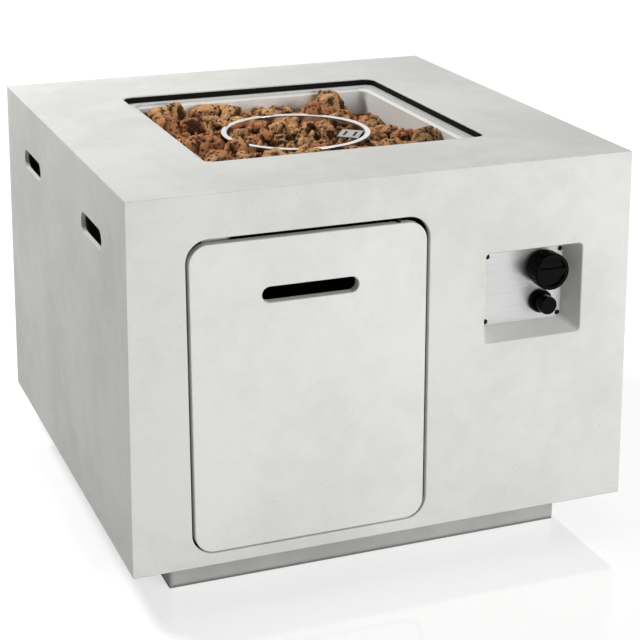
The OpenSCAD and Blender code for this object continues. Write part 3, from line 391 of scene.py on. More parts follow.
def noise(tree, place, scale, detail=3.0, roughness=0.5):
    inputs = {"Vector": place, "Scale": scale, "Detail": detail, "Roughness": roughness}
    return add(tree, "ShaderNodeTexNoise", inputs).outputs[0]


def voronoi(tree, place, scale):
    return add(tree, "ShaderNodeTexVoronoi", {"Vector": place, "Scale": scale, "Randomness": 1.0}).outputs


def colour_parts(tree, colour):
    return add(tree, "ShaderNodeSeparateColor", {0: colour}).outputs


def add_inputs(tree, inputs):
    """Gives a tree its inputs, each of the kind of its default."""
    for label, default in inputs.items():
        socket = tree.interface.new_socket(label, in_out="INPUT", socket_type=SOCKETS[type(default)])
        socket.default_value = default
    return tree.nodes.new("NodeGroupInput").outputs


def shader_group(name, **inputs):
    """An empty shader group with a place and other inputs."""
    group = bpy.data.node_groups.new(name, "ShaderNodeTree")
    return group, add_inputs(group, {"Place": ORIGIN, **spaced(inputs)})


def close_group(group, **results):
    """Ends a shader group with the numbers that it puts out."""
    for label in results:
        group.interface.new_socket(label, in_out="OUTPUT", socket_type="NodeSocketFloat")
    set_inputs(group, group.nodes.new("NodeGroupOutput"), results)
    return group


def use_group(tree, maker, **inputs):
    """Puts a shared group into a material, made at its first use."""
    group = bpy.data.node_groups.get(maker.__name__) or maker()
    return add(tree, "ShaderNodeGroup", spaced(inputs), node_tree=group).outputs


def cast_skin():
    """Clouds, grains and air holes of cast concrete."""
    group, given = shader_group("cast_skin", Cloud_Size=0.2, Speck_Size=0.002, Pore_Spacing=0.02)
    place = given["Place"]
    broad = per_metre(group, given["Cloud Size"])
    cloud = noise(group, place, broad, 5.0, 0.55)
    streak = noise(group, place, times(group, broad, 7.0), 6.0, 0.62)
    speck = noise(group, place, per_metre(group, given["Speck Size"]), 2.0, 0.6)
    cells = voronoi(group, place, per_metre(group, given["Pore Spacing"]))
    luck = colour_parts(group, cells["Color"])
    chosen = calc(group, "GREATER_THAN", luck[0], 0.62)
    reach = span(group, luck[1], 0.0, 1.0, 0.025, 0.075)
    pit = span(group, cells["Distance"], times(group, reach, 0.4), reach, 1.0, 0.0, smooth=True)
    pore = times(group, pit, chosen)
    return close_group(
        group,
        Cloud=span(group, weigh(group, cloud, 0.68, streak, 0.32), 0.36, 0.62, smooth=True),
        Speck=speck,
        Pore=pore,
        Height=calc(group, "SUBTRACT", weigh(group, streak, 0.55, speck, 0.22), pore),
    )


def brushed_grain():
    """Fine lines along one direction, with slow changes of gloss."""
    group, given = shader_group("brushed_grain", Stretch=(1.0, 1.0, 1.0))
    lines = vector(group, "MULTIPLY", given["Place"], given["Stretch"])
    return close_group(
        group,
        Line=noise(group, lines, 1.0, 3.0, 0.6),
        Smudge=noise(group, given["Place"], 14.0, 4.0, 0.6),
    )


def lava_crust():
    """Colour shares, masks where shade is painted into hollows and low grain, and relief of porous lava."""
    group, given = shader_group("lava_crust", Lump_Size=0.016, Pore_Size=0.005, Tint=0.5)
    place = given["Place"]
    lump = per_metre(group, given["Lump Size"])
    dust = noise(group, place, times(group, lump, 2.2), 7.0, 0.7)
    grit = noise(group, place, times(group, lump, 8.0), 4.0, 0.75)
    cells = voronoi(group, place, per_metre(group, given["Pore Size"]))
    hole = span(group, cells["Distance"], 0.16, 0.48, 1.0, 0.0, smooth=True)
    porous = span(group, noise(group, place, times(group, lump, 1.6), 3.0), 0.32, 0.5)
    hollow = times(group, hole, porous)
    return close_group(
        group,
        Dust=span(group, weigh(group, dust, 0.7, given["Tint"], 0.42), 0.36, 0.8),
        Hollow=hollow,
        Grain=span(group, grit, 0.38, 0.58, 1.0, 0.0),
        Height=calc(group, "SUBTRACT", times(group, grit, 0.7), hollow),
    )


def moulded_skin():
    """Fine even texture of a moulded face, with faint dust."""
    group, given = shader_group("moulded_skin", Grain=0.0008)
    place = given["Place"]
    return close_group(
        group,
        Height=noise(group, place, per_metre(group, given["Grain"]), 2.0),
        Dust=span(group, noise(group, place, 45.0, 5.0, 0.7), 0.45, 0.75),
    )


# Materials


def new_material(name):
    """A material with its tree and the piece's own place."""
    material = bpy.data.materials.new(name)
    material.use_nodes = True
    tree = material.node_tree
    return material, tree, add(tree, "ShaderNodeTexCoord").outputs["Object"]


def coat(material, colour, roughness, relief, **others):
    """Joins the looks to a material's shader. Relief is a height with its strength and distance."""
    tree = material.node_tree
    inputs = dict(zip(("Height", "Strength", "Distance"), relief))
    normal = add(tree, "ShaderNodeBump", inputs).outputs["Normal"]
    looks = {"Base Color": colour, "Roughness": roughness, "Normal": normal, **spaced(others)}
    set_inputs(tree, tree.nodes[SHADER], looks)
    return material


def darker(colour, share):
    return tuple(share * c for c in colour)


def raw_inside(tree, place):
    """Mask of the painted shade inside the shell: one on its inner faces, and nought on its outer skin and
    in the pocket of the controls.
    """
    look = settings().cast
    low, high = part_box("body_shell")
    x, y, z = split(tree, place)
    lean = span(tree, z, low.z, high.z, high.x, high.x - look.lean)
    deep = span(tree, calc(tree, "SUBTRACT", lean, farthest(tree, x, y)), look.skin, 1.6 * look.skin)
    slab = high.z - TOP_SLAB
    under = span(tree, z, slab, slab - look.skin)
    plate_low, plate_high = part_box("control_plate")
    middle = (plate_low + plate_high) / 2
    half = (plate_high - plate_low) / 2
    beside = beyond(tree, x, middle.x, half.x + POCKET_LIP)
    above = beyond(tree, z, middle.z, half.z + POCKET_LIP)
    behind = calc(tree, "GREATER_THAN", y, plate_high.y)
    clear = calc(tree, "MAXIMUM", calc(tree, "MAXIMUM", beside, above), behind)
    return times(tree, deep, under, clear)


def cast_concrete(name, pale, grey, raw=None):
    """Cast concrete between two tones, with a dark third one painted as shade inside the shell if it is
    given.
    """
    look = settings().cast
    material, tree, place = new_material(name)
    sizes = {"Cloud_Size": look.cloud, "Speck_Size": look.speck, "Pore_Spacing": look.pore}
    skin = use_group(tree, cast_skin, Place=place, **sizes)
    clouded = blend_colours(tree, skin["Cloud"], grey, pale)
    dark_grain = span(tree, skin["Speck"], 0.6, 0.72, 0.0, 0.22)
    grained = blend_colours(tree, dark_grain, clouded, darker(grey, 0.55))
    # Painted shade in the air holes.
    colour = blend_colours(tree, times(tree, skin["Pore"], 0.55), grained, darker(grey, 0.32))
    # Painted shade: the inner faces take the dark inner tone.
    if raw is not None:
        colour = blend_colours(tree, raw_inside(tree, place), colour, raw)
    roughness = span(tree, skin["Cloud"], 0.0, 1.0, 0.82, 0.66)
    return coat(material, colour, roughness, (skin["Height"], 0.35, 0.0007), Specular_IOR_Level=0.35)


def steel(name, colour, stretch, roughness, relief, metallic=1.0):
    """Steel with lines along the direction in which the stretch is least."""
    material, tree, place = new_material(name)
    grain = use_group(tree, brushed_grain, Place=place, Stretch=stretch)
    line = span(tree, grain["Line"], 0.3, 0.7)
    mottled = weigh(tree, grain["Line"], 0.4, grain["Smudge"], 0.6)
    lined = blend_colours(tree, line, darker(colour, 0.86), colour)
    uneven = span(tree, mottled, 0.3, 0.7, roughness * 0.8, roughness * 1.25)
    return coat(material, lined, uneven, (grain["Line"], relief, 0.0002), Metallic=metallic)


def smoked_steel(name):
    """Pale satin sheet with painted shade on its rim, and darker on its floor and low on its walls, by
    sooting and by painted shade between and under the stones.
    """
    look = settings().metal
    material, tree, place = new_material(name)
    grain = use_group(tree, brushed_grain, Place=place, Stretch=(500.0, 500.0, 14.0))
    clean = blend_colours(tree, span(tree, grain["Line"], 0.3, 0.7), darker(look.pan, 0.94), look.pan)
    height = split(tree, place)[2]
    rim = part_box("burner_pan")[1].z
    # Painted shade on the rim, under the edge of the top's opening.
    retoned = blend_colours(tree, span(tree, height, rim - RIM_BEGINS, rim - RIM_FULL), clean, look.rim)
    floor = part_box("lava_rocks_outer")[0].z
    wave = span(tree, grain["Smudge"], 0.3, 0.7, -0.5 * look.soot_and_shade_height, 0.5 * look.soot_and_shade_height)
    uneven = calc(tree, "ADD", height, wave)
    # Sooting and painted shade: the pan darker towards its floor, as the stones shade it.
    smoke_and_shade = span(tree, uneven, floor, floor + look.soot_and_shade_height, 0.9, 0.0, smooth=True)
    colour = blend_colours(tree, smoke_and_shade, retoned, look.soot_and_shade)
    roughness = span(tree, grain["Smudge"], 0.3, 0.7, 0.32, 0.48)
    return coat(material, colour, roughness, (grain["Line"], 0.05, 0.0002), Metallic=0.12)


def plated_zinc(name, colour):
    """Zinc plate: small flakes of slightly different grey."""
    material, tree, place = new_material(name)
    share = colour_parts(tree, voronoi(tree, place, 220.0)["Color"])[0]
    flaked = blend_colours(tree, share, darker(colour, 0.8), colour)
    roughness = span(tree, share, 0.0, 1.0, 0.34, 0.5)
    grain = noise(tree, place, 900.0, 2.0)
    return coat(material, flaked, roughness, (grain, 0.12, 0.0002), Metallic=1.0)


def turned_metal(name, colour, stain):
    """Brass or copper with fine turning marks and a thin stain."""
    material, tree, place = new_material(name)
    grain = use_group(tree, brushed_grain, Place=place, Stretch=(1500.0, 1500.0, 1500.0))
    stained = span(tree, grain["Smudge"], 0.45, 0.7)
    tarnished = blend_colours(tree, stained, colour, stain)
    roughness = span(tree, stained, 0.0, 1.0, 0.26, 0.48)
    return coat(material, tarnished, roughness, (grain["Line"], 0.1, 0.0001), Metallic=1.0)


def lava_stone(name):
    """Reddish to earth brown lava with dusty high places, painted shade in its pores and clefts, and each
    stone darkened towards its bottom by sooting and painted shade.
    """
    look = settings().stone
    material, tree, place = new_material(name)
    tint, cleft, height = (
        add(tree, "ShaderNodeAttribute", attribute_name=label).outputs["Fac"]
        for label in ("stone_tint", "stone_cleft", "stone_height")
    )
    crust = use_group(tree, lava_crust, Place=place, Lump_Size=look.lump, Pore_Size=look.pore, Tint=tint)
    earth = blend_colours(tree, span(tree, tint, 0.1, 0.55), look.red, look.brown)
    dusted = blend_colours(tree, times(tree, crust["Dust"], 0.62), earth, look.tan)
    # Painted shade: pores, clefts and the low grain are mixed towards the near-black of the pores.
    clefts = calc(tree, "MAXIMUM", crust["Hollow"], cleft)
    sunk = calc(tree, "MAXIMUM", clefts, times(tree, crust["Grain"], 0.36))
    hollow_shaded = blend_colours(tree, times(tree, sunk, 0.92), dusted, look.deep)
    # Each stone darker towards its bottom, up to the set share of its height: sooting and painted shade,
    # which outlines the stones as shade between them would.
    sooty_and_shaded = span(tree, height, 0.3, look.soot_and_shade, 1.0, 0.0, smooth=True)
    dark = calc(tree, "MAXIMUM", sooty_and_shaded, span(tree, tint, 0.84, 1.0, 0.0, 0.6))
    colour = blend_colours(tree, dark, hollow_shaded, look.black)
    roughness = span(tree, crust["Dust"], 0.0, 1.0, 0.74, 0.92)
    return coat(material, colour, roughness, (crust["Height"], 1.0, 0.0024), Specular_IOR_Level=0.04)


def moulded(name, colour, roughness, grain, relief, gloss=0.5):
    """Plastic, rubber, ceramic or black paint with a moulded skin."""
    material, tree, place = new_material(name)
    skin = use_group(tree, moulded_skin, Place=place, Grain=grain)
    dusty = tuple(min(1.0, c * 1.12 + 0.0008) for c in colour)
    retoned = blend_colours(tree, skin["Dust"], colour, dusty)
    uneven = span(tree, skin["Dust"], 0.0, 1.0, roughness, roughness * 1.35)
    return coat(material, retoned, uneven, (skin["Height"], relief, 0.0003), Specular_IOR_Level=gloss)


def finish(name):
    """The material of that name, made at its first use."""
    made = bpy.data.materials.get(name)
    if made:
        return made
    cast, metal, plastic = settings().cast, settings().metal, settings().plastic
    makers = {
        "cast concrete": (cast_concrete, cast.pale, cast.grey, cast.raw),
        "door concrete": (cast_concrete, cast.door_pale, darker(cast.door_pale, 0.92)),
        # Painted shade: a darker copy of the concrete for the plinth, which lies under the body's overhang.
        "shaded foot concrete": (cast_concrete, cast.foot, darker(cast.foot, 0.85)),
        "lava stone": (lava_stone,),
        "smoked and shaded pan": (smoked_steel,),
        "satin plate": (steel, metal.plate, (14.0, 900.0, 900.0), 0.38, 0.12, 0.6),
        "bright bowl": (steel, metal.bowl, (40.0, 40.0, 1400.0), 0.17, 0.05),
        "brushed hood": (steel, metal.hood, (1400.0, 40.0, 40.0), 0.34, 0.08),
        "zinc plate": (plated_zinc, metal.zinc),
        "machined brass": (turned_metal, metal.brass, (0.36, 0.24, 0.1)),
        "drawn copper": (turned_metal, metal.copper, (0.3, 0.14, 0.08)),
        "black plastic": (moulded, plastic.black, 0.2, 0.0009, 0.05, 0.03),
        "black steel": (moulded, plastic.black, 0.42, 0.0006, 0.2, 0.12),
        "black rubber": (moulded, plastic.rubber, 0.62, 0.0007, 0.25, 0.06),
        "black bush": (moulded, plastic.rubber, 0.5, 0.0008, 0.06, 0.12),
        "glazed ceramic": (moulded, plastic.white, 0.18, 0.003, 0.04),
    }
    maker, *given = makers[name]
    return maker(name, *given)


# Pieces


def paint(material, *nodes):
    """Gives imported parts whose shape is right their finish."""
    for node in nodes:
        slots = NODES[node].data.materials
        slots.clear()
        slots.append(finish(material))


def new_piece(name, mesh):
    """A new object in the scene."""
    piece = bpy.data.objects.new(name, mesh)
    bpy.context.scene.collection.objects.link(piece)
    return piece


def joined_copy(node):
    """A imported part's mesh for editing, with joined points."""
    part = bmesh.new()
    part.from_mesh(NODES[node].data)
    bmesh.ops.remove_doubles(part, verts=part.verts, dist=JOIN)
    return part


def clean_copy(node, name):
    """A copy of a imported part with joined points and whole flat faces."""
    part = joined_copy(node)
    bmesh.ops.dissolve_limit(part, angle_limit=FLAT, verts=part.verts, edges=part.edges)
    mesh = bpy.data.meshes.new(name)
    part.to_mesh(mesh)
    part.free()
    return new_piece(name, mesh)


def bake(piece):
    """Turns a piece with modifiers into a plain mesh."""
    shown = piece.evaluated_get(bpy.context.evaluated_depsgraph_get())
    baked = bpy.data.meshes.new_from_object(shown)
    piece.modifiers.clear()
    old = piece.data
    piece.data = baked
    bpy.data.meshes.remove(old)
    baked.name = piece.name
    if not baked.polygons:
        raise RuntimeError(f"{piece.name} came out empty")
    return piece


def settle(piece, node):
    """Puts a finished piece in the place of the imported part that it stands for."""
    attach(piece, NODES[node]["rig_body"])
    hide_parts(node)


def clusters(left, neighbours):
    """Takes groups of joined elements out of a set until it is empty."""
    while left:
        stack = [left.pop()]
        group = set(stack)
        while stack:
            found = left.intersection(neighbours(stack.pop()))
            left -= found
            group |= found
            stack.extend(found)
        yield group


def in_side(rim, node, sides):
    """Whether a rim lies in one of the given sides of a part's box."""
    places = [vert.co for edge in rim for vert in edge.verts]
    for axis, end in sides:
        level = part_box(node)[end][axis]
        if all(abs(place[axis] - level) < RIM_DEPTH for place in places):
            return True
    return False


def bends_wide(rim, radius):
    """Whether a rim is one closed loop whose bends leave room for the radius."""
    for vert in {vert for edge in rim for vert in edge.verts}:
        pair = [edge for edge in vert.link_edges if edge in rim]
        if len(pair) != 2:
            return False
        ahead = pair[0].other_vert(vert).co - vert.co
        behind = vert.co - pair[1].other_vert(vert).co
        if ahead.angle(behind) * radius * RIM_ROOM > min(ahead.length, behind.length):
            return False
    return True


def mark_rims(mesh, node, radius, sharp, sides):
    """Marks closed rims in the given sides of a part for rounding, and its other sharp edges as sharp."""
    part = bmesh.new()
    part.from_mesh(mesh)
    weight = part.edges.layers.float.new("bevel_weight_edge")
    keen = {edge for edge in part.edges if edge.calc_face_angle(0.0) > math.radians(sharp)}
    for edge in keen:
        edge.smooth = False
    for rim in clusters(keen, lambda edge: [other for vert in edge.verts for other in vert.link_edges]):
        if in_side(rim, node, sides) and bends_wide(rim, radius):
            for edge in rim:
                edge[weight] = 1.0
                edge.smooth = True
    part.to_mesh(mesh)
    part.free()


def soften(node, name, material, radius, sharp=SHARP, sides=()):
    """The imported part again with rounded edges.

    With sides, the closed rims in them are rounded. Without, all sharp edges are, but no further than
    the tightest place between two of them allows, which may be hardly at all.
    """
    piece = clean_copy(node, name)
    piece.data.shade_smooth()
    rounding = piece.modifiers.new("Rounded edges", "BEVEL")
    rounding.width = radius
    rounding.segments = ROUND_FACES
    rounding.miter_outer = "MITER_ARC"
    if sides:
        mark_rims(piece.data, node, radius, sharp, sides)
        rounding.limit_method = "WEIGHT"
        rounding.use_clamp_overlap = False
    else:
        rounding.limit_method = "ANGLE"
        rounding.angle_limit = math.radians(sharp)
    weld = piece.modifiers.new("Joined points", "WELD")
    weld.merge_threshold = JOIN
    even = piece.modifiers.new("Even shading", "WEIGHTED_NORMAL")
    even.keep_sharp = True
    bake(piece)
    piece.data.materials.clear()
    piece.data.materials.append(finish(material))
    settle(piece, node)


def islands(node):
    """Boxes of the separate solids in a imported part, as (low, high) corners."""
    part = joined_copy(node)
    found = []
    for solid in clusters(set(part.verts), lambda vert: [edge.other_vert(vert) for edge in vert.link_edges]):
        low = Vector([min(v.co[i] for v in solid) for i in range(3)])
        high = Vector([max(v.co[i] for v in solid) for i in range(3)])
        found.append((low, high))
    part.free()
    return sorted(found, key=lambda box: box[0].to_tuple())


# Geometry Nodes trees


def geometry_tree(name, inputs):
    """An empty geometry tree with its inputs and a material."""
    tree = bpy.data.node_groups.new(name, "GeometryNodeTree")
    tree.interface.new_socket("Geometry", in_out="INPUT", socket_type="NodeSocketGeometry")
    tree.interface.new_socket("Material", in_out="INPUT", socket_type="NodeSocketMaterial")
    tree.interface.new_socket("Geometry", in_out="OUTPUT", socket_type="NodeSocketGeometry")
    return tree, add_inputs(tree, inputs)


def close_tree(tree, geometry, material):
    """Ends a tree: real meshes with their material."""
    whole = add(tree, "GeometryNodeRealizeInstances", {"Geometry": geometry}).outputs[0]
    painted = add(tree, "GeometryNodeSetMaterial", {"Geometry": whole, "Material": material}).outputs[0]
    tree.links.new(painted, tree.nodes.new("NodeGroupOutput").inputs[0])
    return tree


def run_tree(piece, tree, **values):
    """Runs a tree on a piece with the given inputs, and bakes it."""
    modifier = piece.modifiers.new(tree.name, "NODES")
    modifier.node_group = tree
    keys = {s.name: s.identifier for s in tree.interface.items_tree if s.in_out == "INPUT"}
    for name, value in spaced(values).items():
        modifier[keys[name]] = value
    bake(piece)


def store(tree, geometry, name, value):
    """Keeps a number at each point under a name."""
    inputs = {"Geometry": geometry, "Name": name, "Value": value}
    kind = "GeometryNodeStoreNamedAttribute"
    return add(tree, kind, inputs, data_type="FLOAT", domain="POINT").outputs[0]


def raised(tree, shape, height):
    inputs = {"Geometry": shape, "Translation": joined(tree, z=height)}
    return add(tree, "GeometryNodeTransform", inputs).outputs[0]


def block(tree, sides, height):
    """A box with the given sides and its middle at that height."""
    cube = add(tree, "GeometryNodeMeshCube", {"Size": joined(tree, *sides)}).outputs[0]
    return raised(tree, cube, height)


def rough_stones():
    """Divides sharp-cornered stones and gives each its lumps, broken faces, pores and a tint of its own."""
    faces = {"Levels": 3, "Crease": 0.6, "Shrink": 0.0004}
    lumpy = {"Lump Size": 0.026, "Lump Depth": 0.005, "Chip Size": 0.013, "Chip Tilt": 0.75}
    porous = {"Pore Size": 0.005, "Pore Depth": 0.001}
    piled = {"Growth": 0.5, "Top": 0.55, "Spread": 0.1, "Stray": 0.003, "Seed": 1}
    bounded = {"Clear Radius": 0.0, "Wall": 0.2, "Corner": 0.4}
    tree, given = geometry_tree("Rough stones", {**faces, **lumpy, **porous, **piled, **bounded})
    island = add(tree, "GeometryNodeInputMeshIsland").outputs["Island Index"]
    chance = {"ID": island, "Seed": given["Seed"]}
    luck = add(tree, "FunctionNodeRandomValue", chance, data_type="FLOAT").outputs[1]
    tinted = store(tree, given["Geometry"], "stone_tint", luck)
    blunt = {"Mesh": tinted, "Level": given["Levels"], "Edge Crease": given["Crease"]}
    divided = add(tree, "GeometryNodeSubdivisionSurface", blunt).outputs[0]
    tint_name = {"Name": "stone_tint"}
    own_tint = add(tree, "GeometryNodeInputNamedAttribute", tint_name, data_type="FLOAT").outputs[0]
    position = add(tree, "GeometryNodeInputPosition").outputs[0]
    place = vector(tree, "ADD", position, joined(tree, times(tree, own_tint, TINT_SHIFT)))

    # Lumps and tilted broken faces, less the pores, all along the normal.
    lump_noise = noise(tree, place, per_metre(tree, given["Lump Size"]), 3.0, 0.55)
    lumps = calc(tree, "SUBTRACT", span(tree, lump_noise, 0.3, 0.7), 0.6)
    chips = voronoi(tree, place, per_metre(tree, given["Chip Size"]))
    away = vector(tree, "SUBTRACT", place, chips["Position"])
    lean = vector(tree, "SUBTRACT", chips["Color"], (0.5, 0.5, 0.5))
    slope = measure(tree, "DOT_PRODUCT", away, lean)
    far = voronoi(tree, place, per_metre(tree, given["Pore Size"]))["Distance"]
    pit = span(tree, far, 0.15, 0.45, 1.0, 0.0, smooth=True)
    high = weigh(tree, lumps, given["Lump Depth"], slope, given["Chip Tilt"])
    rough = calc(tree, "SUBTRACT", high, times(tree, pit, given["Pore Depth"]))
    offset = calc(tree, "SUBTRACT", rough, given["Shrink"])
    out = scaled(tree, add(tree, "GeometryNodeInputNormal").outputs[0], offset)

    # Masks for the material's painted shade: hollows, and the height in each stone.
    sunk = calc(tree, "DIVIDE", offset, given["Pore Depth"])
    darkened = store(tree, divided, "stone_cleft", span(tree, sunk, -2.0, -0.5, 1.0, 0.0))
    height = split(tree, position)[2]
    ends = add(tree, "GeometryNodeFieldMinAndMax", {"Value": height, "Group ID": island}).outputs
    masked = store(tree, darkened, "stone_height", span(tree, height, ends["Min"], ends["Max"]))

    # Growth in height, none beside the bowl and never past the top.
    whole = {"Value": position, "Group ID": island}
    centre = add(tree, "GeometryNodeFieldAverage", whole, data_type="FLOAT_VECTOR").outputs["Mean"]
    from_middle = measure(tree, "LENGTH", vector(tree, "MULTIPLY", centre, LEVEL))
    from_bowl = calc(tree, "SUBTRACT", from_middle, given["Clear Radius"])
    free = span(tree, from_bowl, GROWTH_BEGINS, GROWTH_FREE)
    chance = {"ID": island, "Seed": calc(tree, "ADD", given["Seed"], GROWTH_SEED)}
    rise_luck = add(tree, "FunctionNodeRandomValue", chance, data_type="FLOAT").outputs[1]
    wish = times(tree, rise_luck, free, given["Growth"])
    room = calc(tree, "SUBTRACT", given["Top"], ends["Max"])
    most = calc(tree, "DIVIDE", room, calc(tree, "SUBTRACT", ends["Max"], ends["Min"]))
    share = calc(tree, "MINIMUM", wish, most)
    rise = times(tree, calc(tree, "SUBTRACT", height, ends["Min"]), share)
    lifted = vector(tree, "ADD", out, joined(tree, z=rise))

    # Each stone becomes wider and moves along the bed.
    flat = vector(tree, "MULTIPLY", vector(tree, "SUBTRACT", position, centre), LEVEL)
    wider = scaled(tree, flat, given["Spread"])
    chance = {"Min": (-1.0, -1.0, 0.0), "Max": LEVEL, "ID": island, "Seed": given["Seed"]}
    aside = add(tree, "FunctionNodeRandomValue", chance, data_type="FLOAT_VECTOR").outputs[0]
    goal = position
    for move in (lifted, wider, scaled(tree, aside, given["Stray"])):
        goal = vector(tree, "ADD", goal, move)

    # The bed stays outside the bowl and inside the corners and the walls of the pan.
    x, y, z = split(tree, goal)
    around = joined(tree, x, y)
    near = calc(tree, "DIVIDE", given["Clear Radius"], measure(tree, "LENGTH", around))
    slant = calc(tree, "ADD", calc(tree, "ABSOLUTE", x), calc(tree, "ABSOLUTE", y))
    push = calc(tree, "MAXIMUM", near, 1.0)
    pull = calc(tree, "MINIMUM", calc(tree, "DIVIDE", given["Corner"], slant), 1.0)
    wall = joined(tree, given["Wall"], given["Wall"])
    held = vector(tree, "MINIMUM", scaled(tree, around, times(tree, push, pull)), wall)
    held = vector(tree, "MAXIMUM", held, scaled(tree, wall, -1.0))
    settled = vector(tree, "ADD", held, joined(tree, z=z))
    moved = add(tree, "GeometryNodeSetPosition", {"Geometry": masked, "Position": settled}).outputs[0]
    smooth = add(tree, "GeometryNodeSetShadeSmooth", {"Geometry": moved, "Shade Smooth": True}).outputs[0]
    return close_tree(tree, smooth, given["Material"])


def cross_head_screws():
    """A domed screw head with a cross recess and its shank at every point, pointing to the front."""
    inputs = {
        "Head Diameter": 0.007,
        "Head Height": 0.0024,
        "Shank Diameter": 0.004,
        "Shank Length": 0.009,
        "Recess Width": 0.001,
    }
    tree, given = geometry_tree("Cross-head screws", inputs)
    head_r = times(tree, given["Head Diameter"], 0.5)
    ball = add(tree, "GeometryNodeMeshUVSphere", {"Segments": 40, "Rings": 24, "Radius": head_r}).outputs[0]
    squeeze = joined(tree, 1.0, 1.0, calc(tree, "DIVIDE", given["Head Height"], head_r))
    head = add(tree, "GeometryNodeTransform", {"Geometry": ball, "Scale": squeeze}).outputs[0]
    wide = times(tree, given["Head Diameter"], 2.0)
    arm = times(tree, given["Head Diameter"], RECESS_ARM)
    deep = times(tree, given["Head Height"], RECESS_DEPTH)
    cutters = (
        block(tree, (wide, wide, wide), times(tree, wide, -0.5)),
        block(tree, (arm, given["Recess Width"], deep), given["Head Height"]),
        block(tree, (given["Recess Width"], arm, deep), given["Head Height"]),
    )
    for cutter in cutters:
        pair = {"Mesh 1": head, "Mesh 2": cutter}
        kind = "GeometryNodeMeshBoolean"
        head = add(tree, kind, pair, operation="DIFFERENCE", solver="MANIFOLD").outputs[0]
    shank_r = times(tree, given["Shank Diameter"], 0.5)
    shank = {"Vertices": 24, "Radius": shank_r, "Depth": given["Shank Length"]}
    rod = add(tree, "GeometryNodeMeshCylinder", shank).outputs[0]
    screw = add(tree, "GeometryNodeJoinGeometry")
    for shape in (head, raised(tree, rod, times(tree, given["Shank Length"], -0.5))):
        tree.links.new(shape, screw.inputs[0])
    upright = (math.radians(90.0), 0.0, 0.0)
    spots = {"Points": given["Geometry"], "Instance": screw.outputs[0], "Rotation": upright}
    placed = add(tree, "GeometryNodeInstanceOnPoints", spots).outputs[0]
    return close_tree(tree, placed, given["Material"])


# Operators


class FIREPIT_OT_cast_shell(bpy.types.Operator):
    """Give the shell its rounded rims, and the shell and the plinth their concrete"""

    bl_idname = "firepit.cast_shell"
    bl_label = "Cast Shell"

    def execute(self, context):
        edge = settings().cast.edge
        soften("body_shell", "shell", "cast concrete", edge, sides=(FRONT, TOP))
        soften("plinth", "foot", "shaded foot concrete", edge)
        return {"FINISHED"}


class FIREPIT_OT_door(bpy.types.Operator):
    """Finish the door, its pivots and its catch"""

    bl_idname = "firepit.door"
    bl_label = "Door"

    def execute(self, context):
        edge = settings().cast.edge
        soften("door_panel", "door", "door concrete", edge, sides=(FRONT,))
        paint("zinc plate", "door_strike", "catch_bracket", "door_magnet", "catch_screws")
        paint("black steel", "door_pins")
        paint("black bush", "door_bushes")
        return {"FINISHED"}


class FIREPIT_OT_fire_pan(bpy.types.Operator):
    """Finish the drop-in pan, its gasket and the burner bowl"""

    bl_idname = "firepit.fire_pan"
    bl_label = "Fire Pan"

    def execute(self, context):
        fold = settings().metal.fold
        soften("burner_pan", "pan", "smoked and shaded pan", fold, SHARP_PAN, (TOP,))
        # The gasket's black also paints the shade under the edge of the top's opening.
        soften("pan_gasket", "gasket", "black rubber", FINE_EDGE)
        soften("burner_bowl", "bowl", "bright bowl", FINE_EDGE, SHARP_BOWL)
        return {"FINISHED"}


class FIREPIT_OT_lava_stones(bpy.types.Operator):
    """Roughen the stones around and in the bowl"""

    bl_idname = "firepit.lava_stones"
    bl_label = "Lava Stones"

    def execute(self, context):
        look = settings().stone
        tree = rough_stones()
        bowl_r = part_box("burner_bowl")[1].x
        beds = (
            ("lava_rocks_outer", "stones_outer", 0, look.growth, bowl_r, look.spread, look.stray),
            ("lava_rocks_inner", "stones_inner", 1, INNER_GROWTH * look.growth, 0.0, 0.0, 0.0),
        )
        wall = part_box("lava_rocks_outer")[1].x
        corner = max(abs(v.co.x) + abs(v.co.y) for v in NODES["lava_rocks_outer"].data.vertices)
        for node, name, seed, growth, clear_radius, spread, stray in beds:
            piece = clean_copy(node, name)
            run_tree(
                piece,
                tree,
                Levels=look.levels,
                Crease=look.crease,
                Shrink=look.shrink,
                Lump_Size=look.lump,
                Lump_Depth=look.lump_depth,
                Chip_Size=look.chip,
                Chip_Tilt=look.chip_tilt,
                Pore_Size=look.pore,
                Pore_Depth=look.pore_depth,
                Growth=growth,
                Top=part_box("body_shell")[1].z - look.below_top,
                Clear_Radius=clear_radius,
                Wall=wall,
                Corner=corner,
                Spread=spread,
                Stray=stray,
                Seed=look.seed + seed,
                Material=finish("lava stone"),
            )
            fewer = piece.modifiers.new("Fewer faces", "DECIMATE")
            fewer.ratio = look.keep
            bake(piece)
            settle(piece, node)
        return {"FINISHED"}


class FIREPIT_OT_burner(bpy.types.Operator):
    """Finish the burner, its gas line, the pilot hood and the leads"""

    bl_idname = "firepit.burner"
    bl_label = "Burner"

    def execute(self, context):
        soften("pilot_hood", "hood", "brushed hood", SHEET_EDGE)
        paint("zinc plate", "ring_burner", "mixer_tube")
        paint("machined brass", "burner_nut", "orifice_fitting", "pipe_nuts")
        paint("drawn copper", "gas_pipe", "thermocouple", "thermocouple_lead")
        paint("glazed ceramic", "spark_electrode")
        paint("black rubber", "ignition_lead")
        return {"FINISHED"}


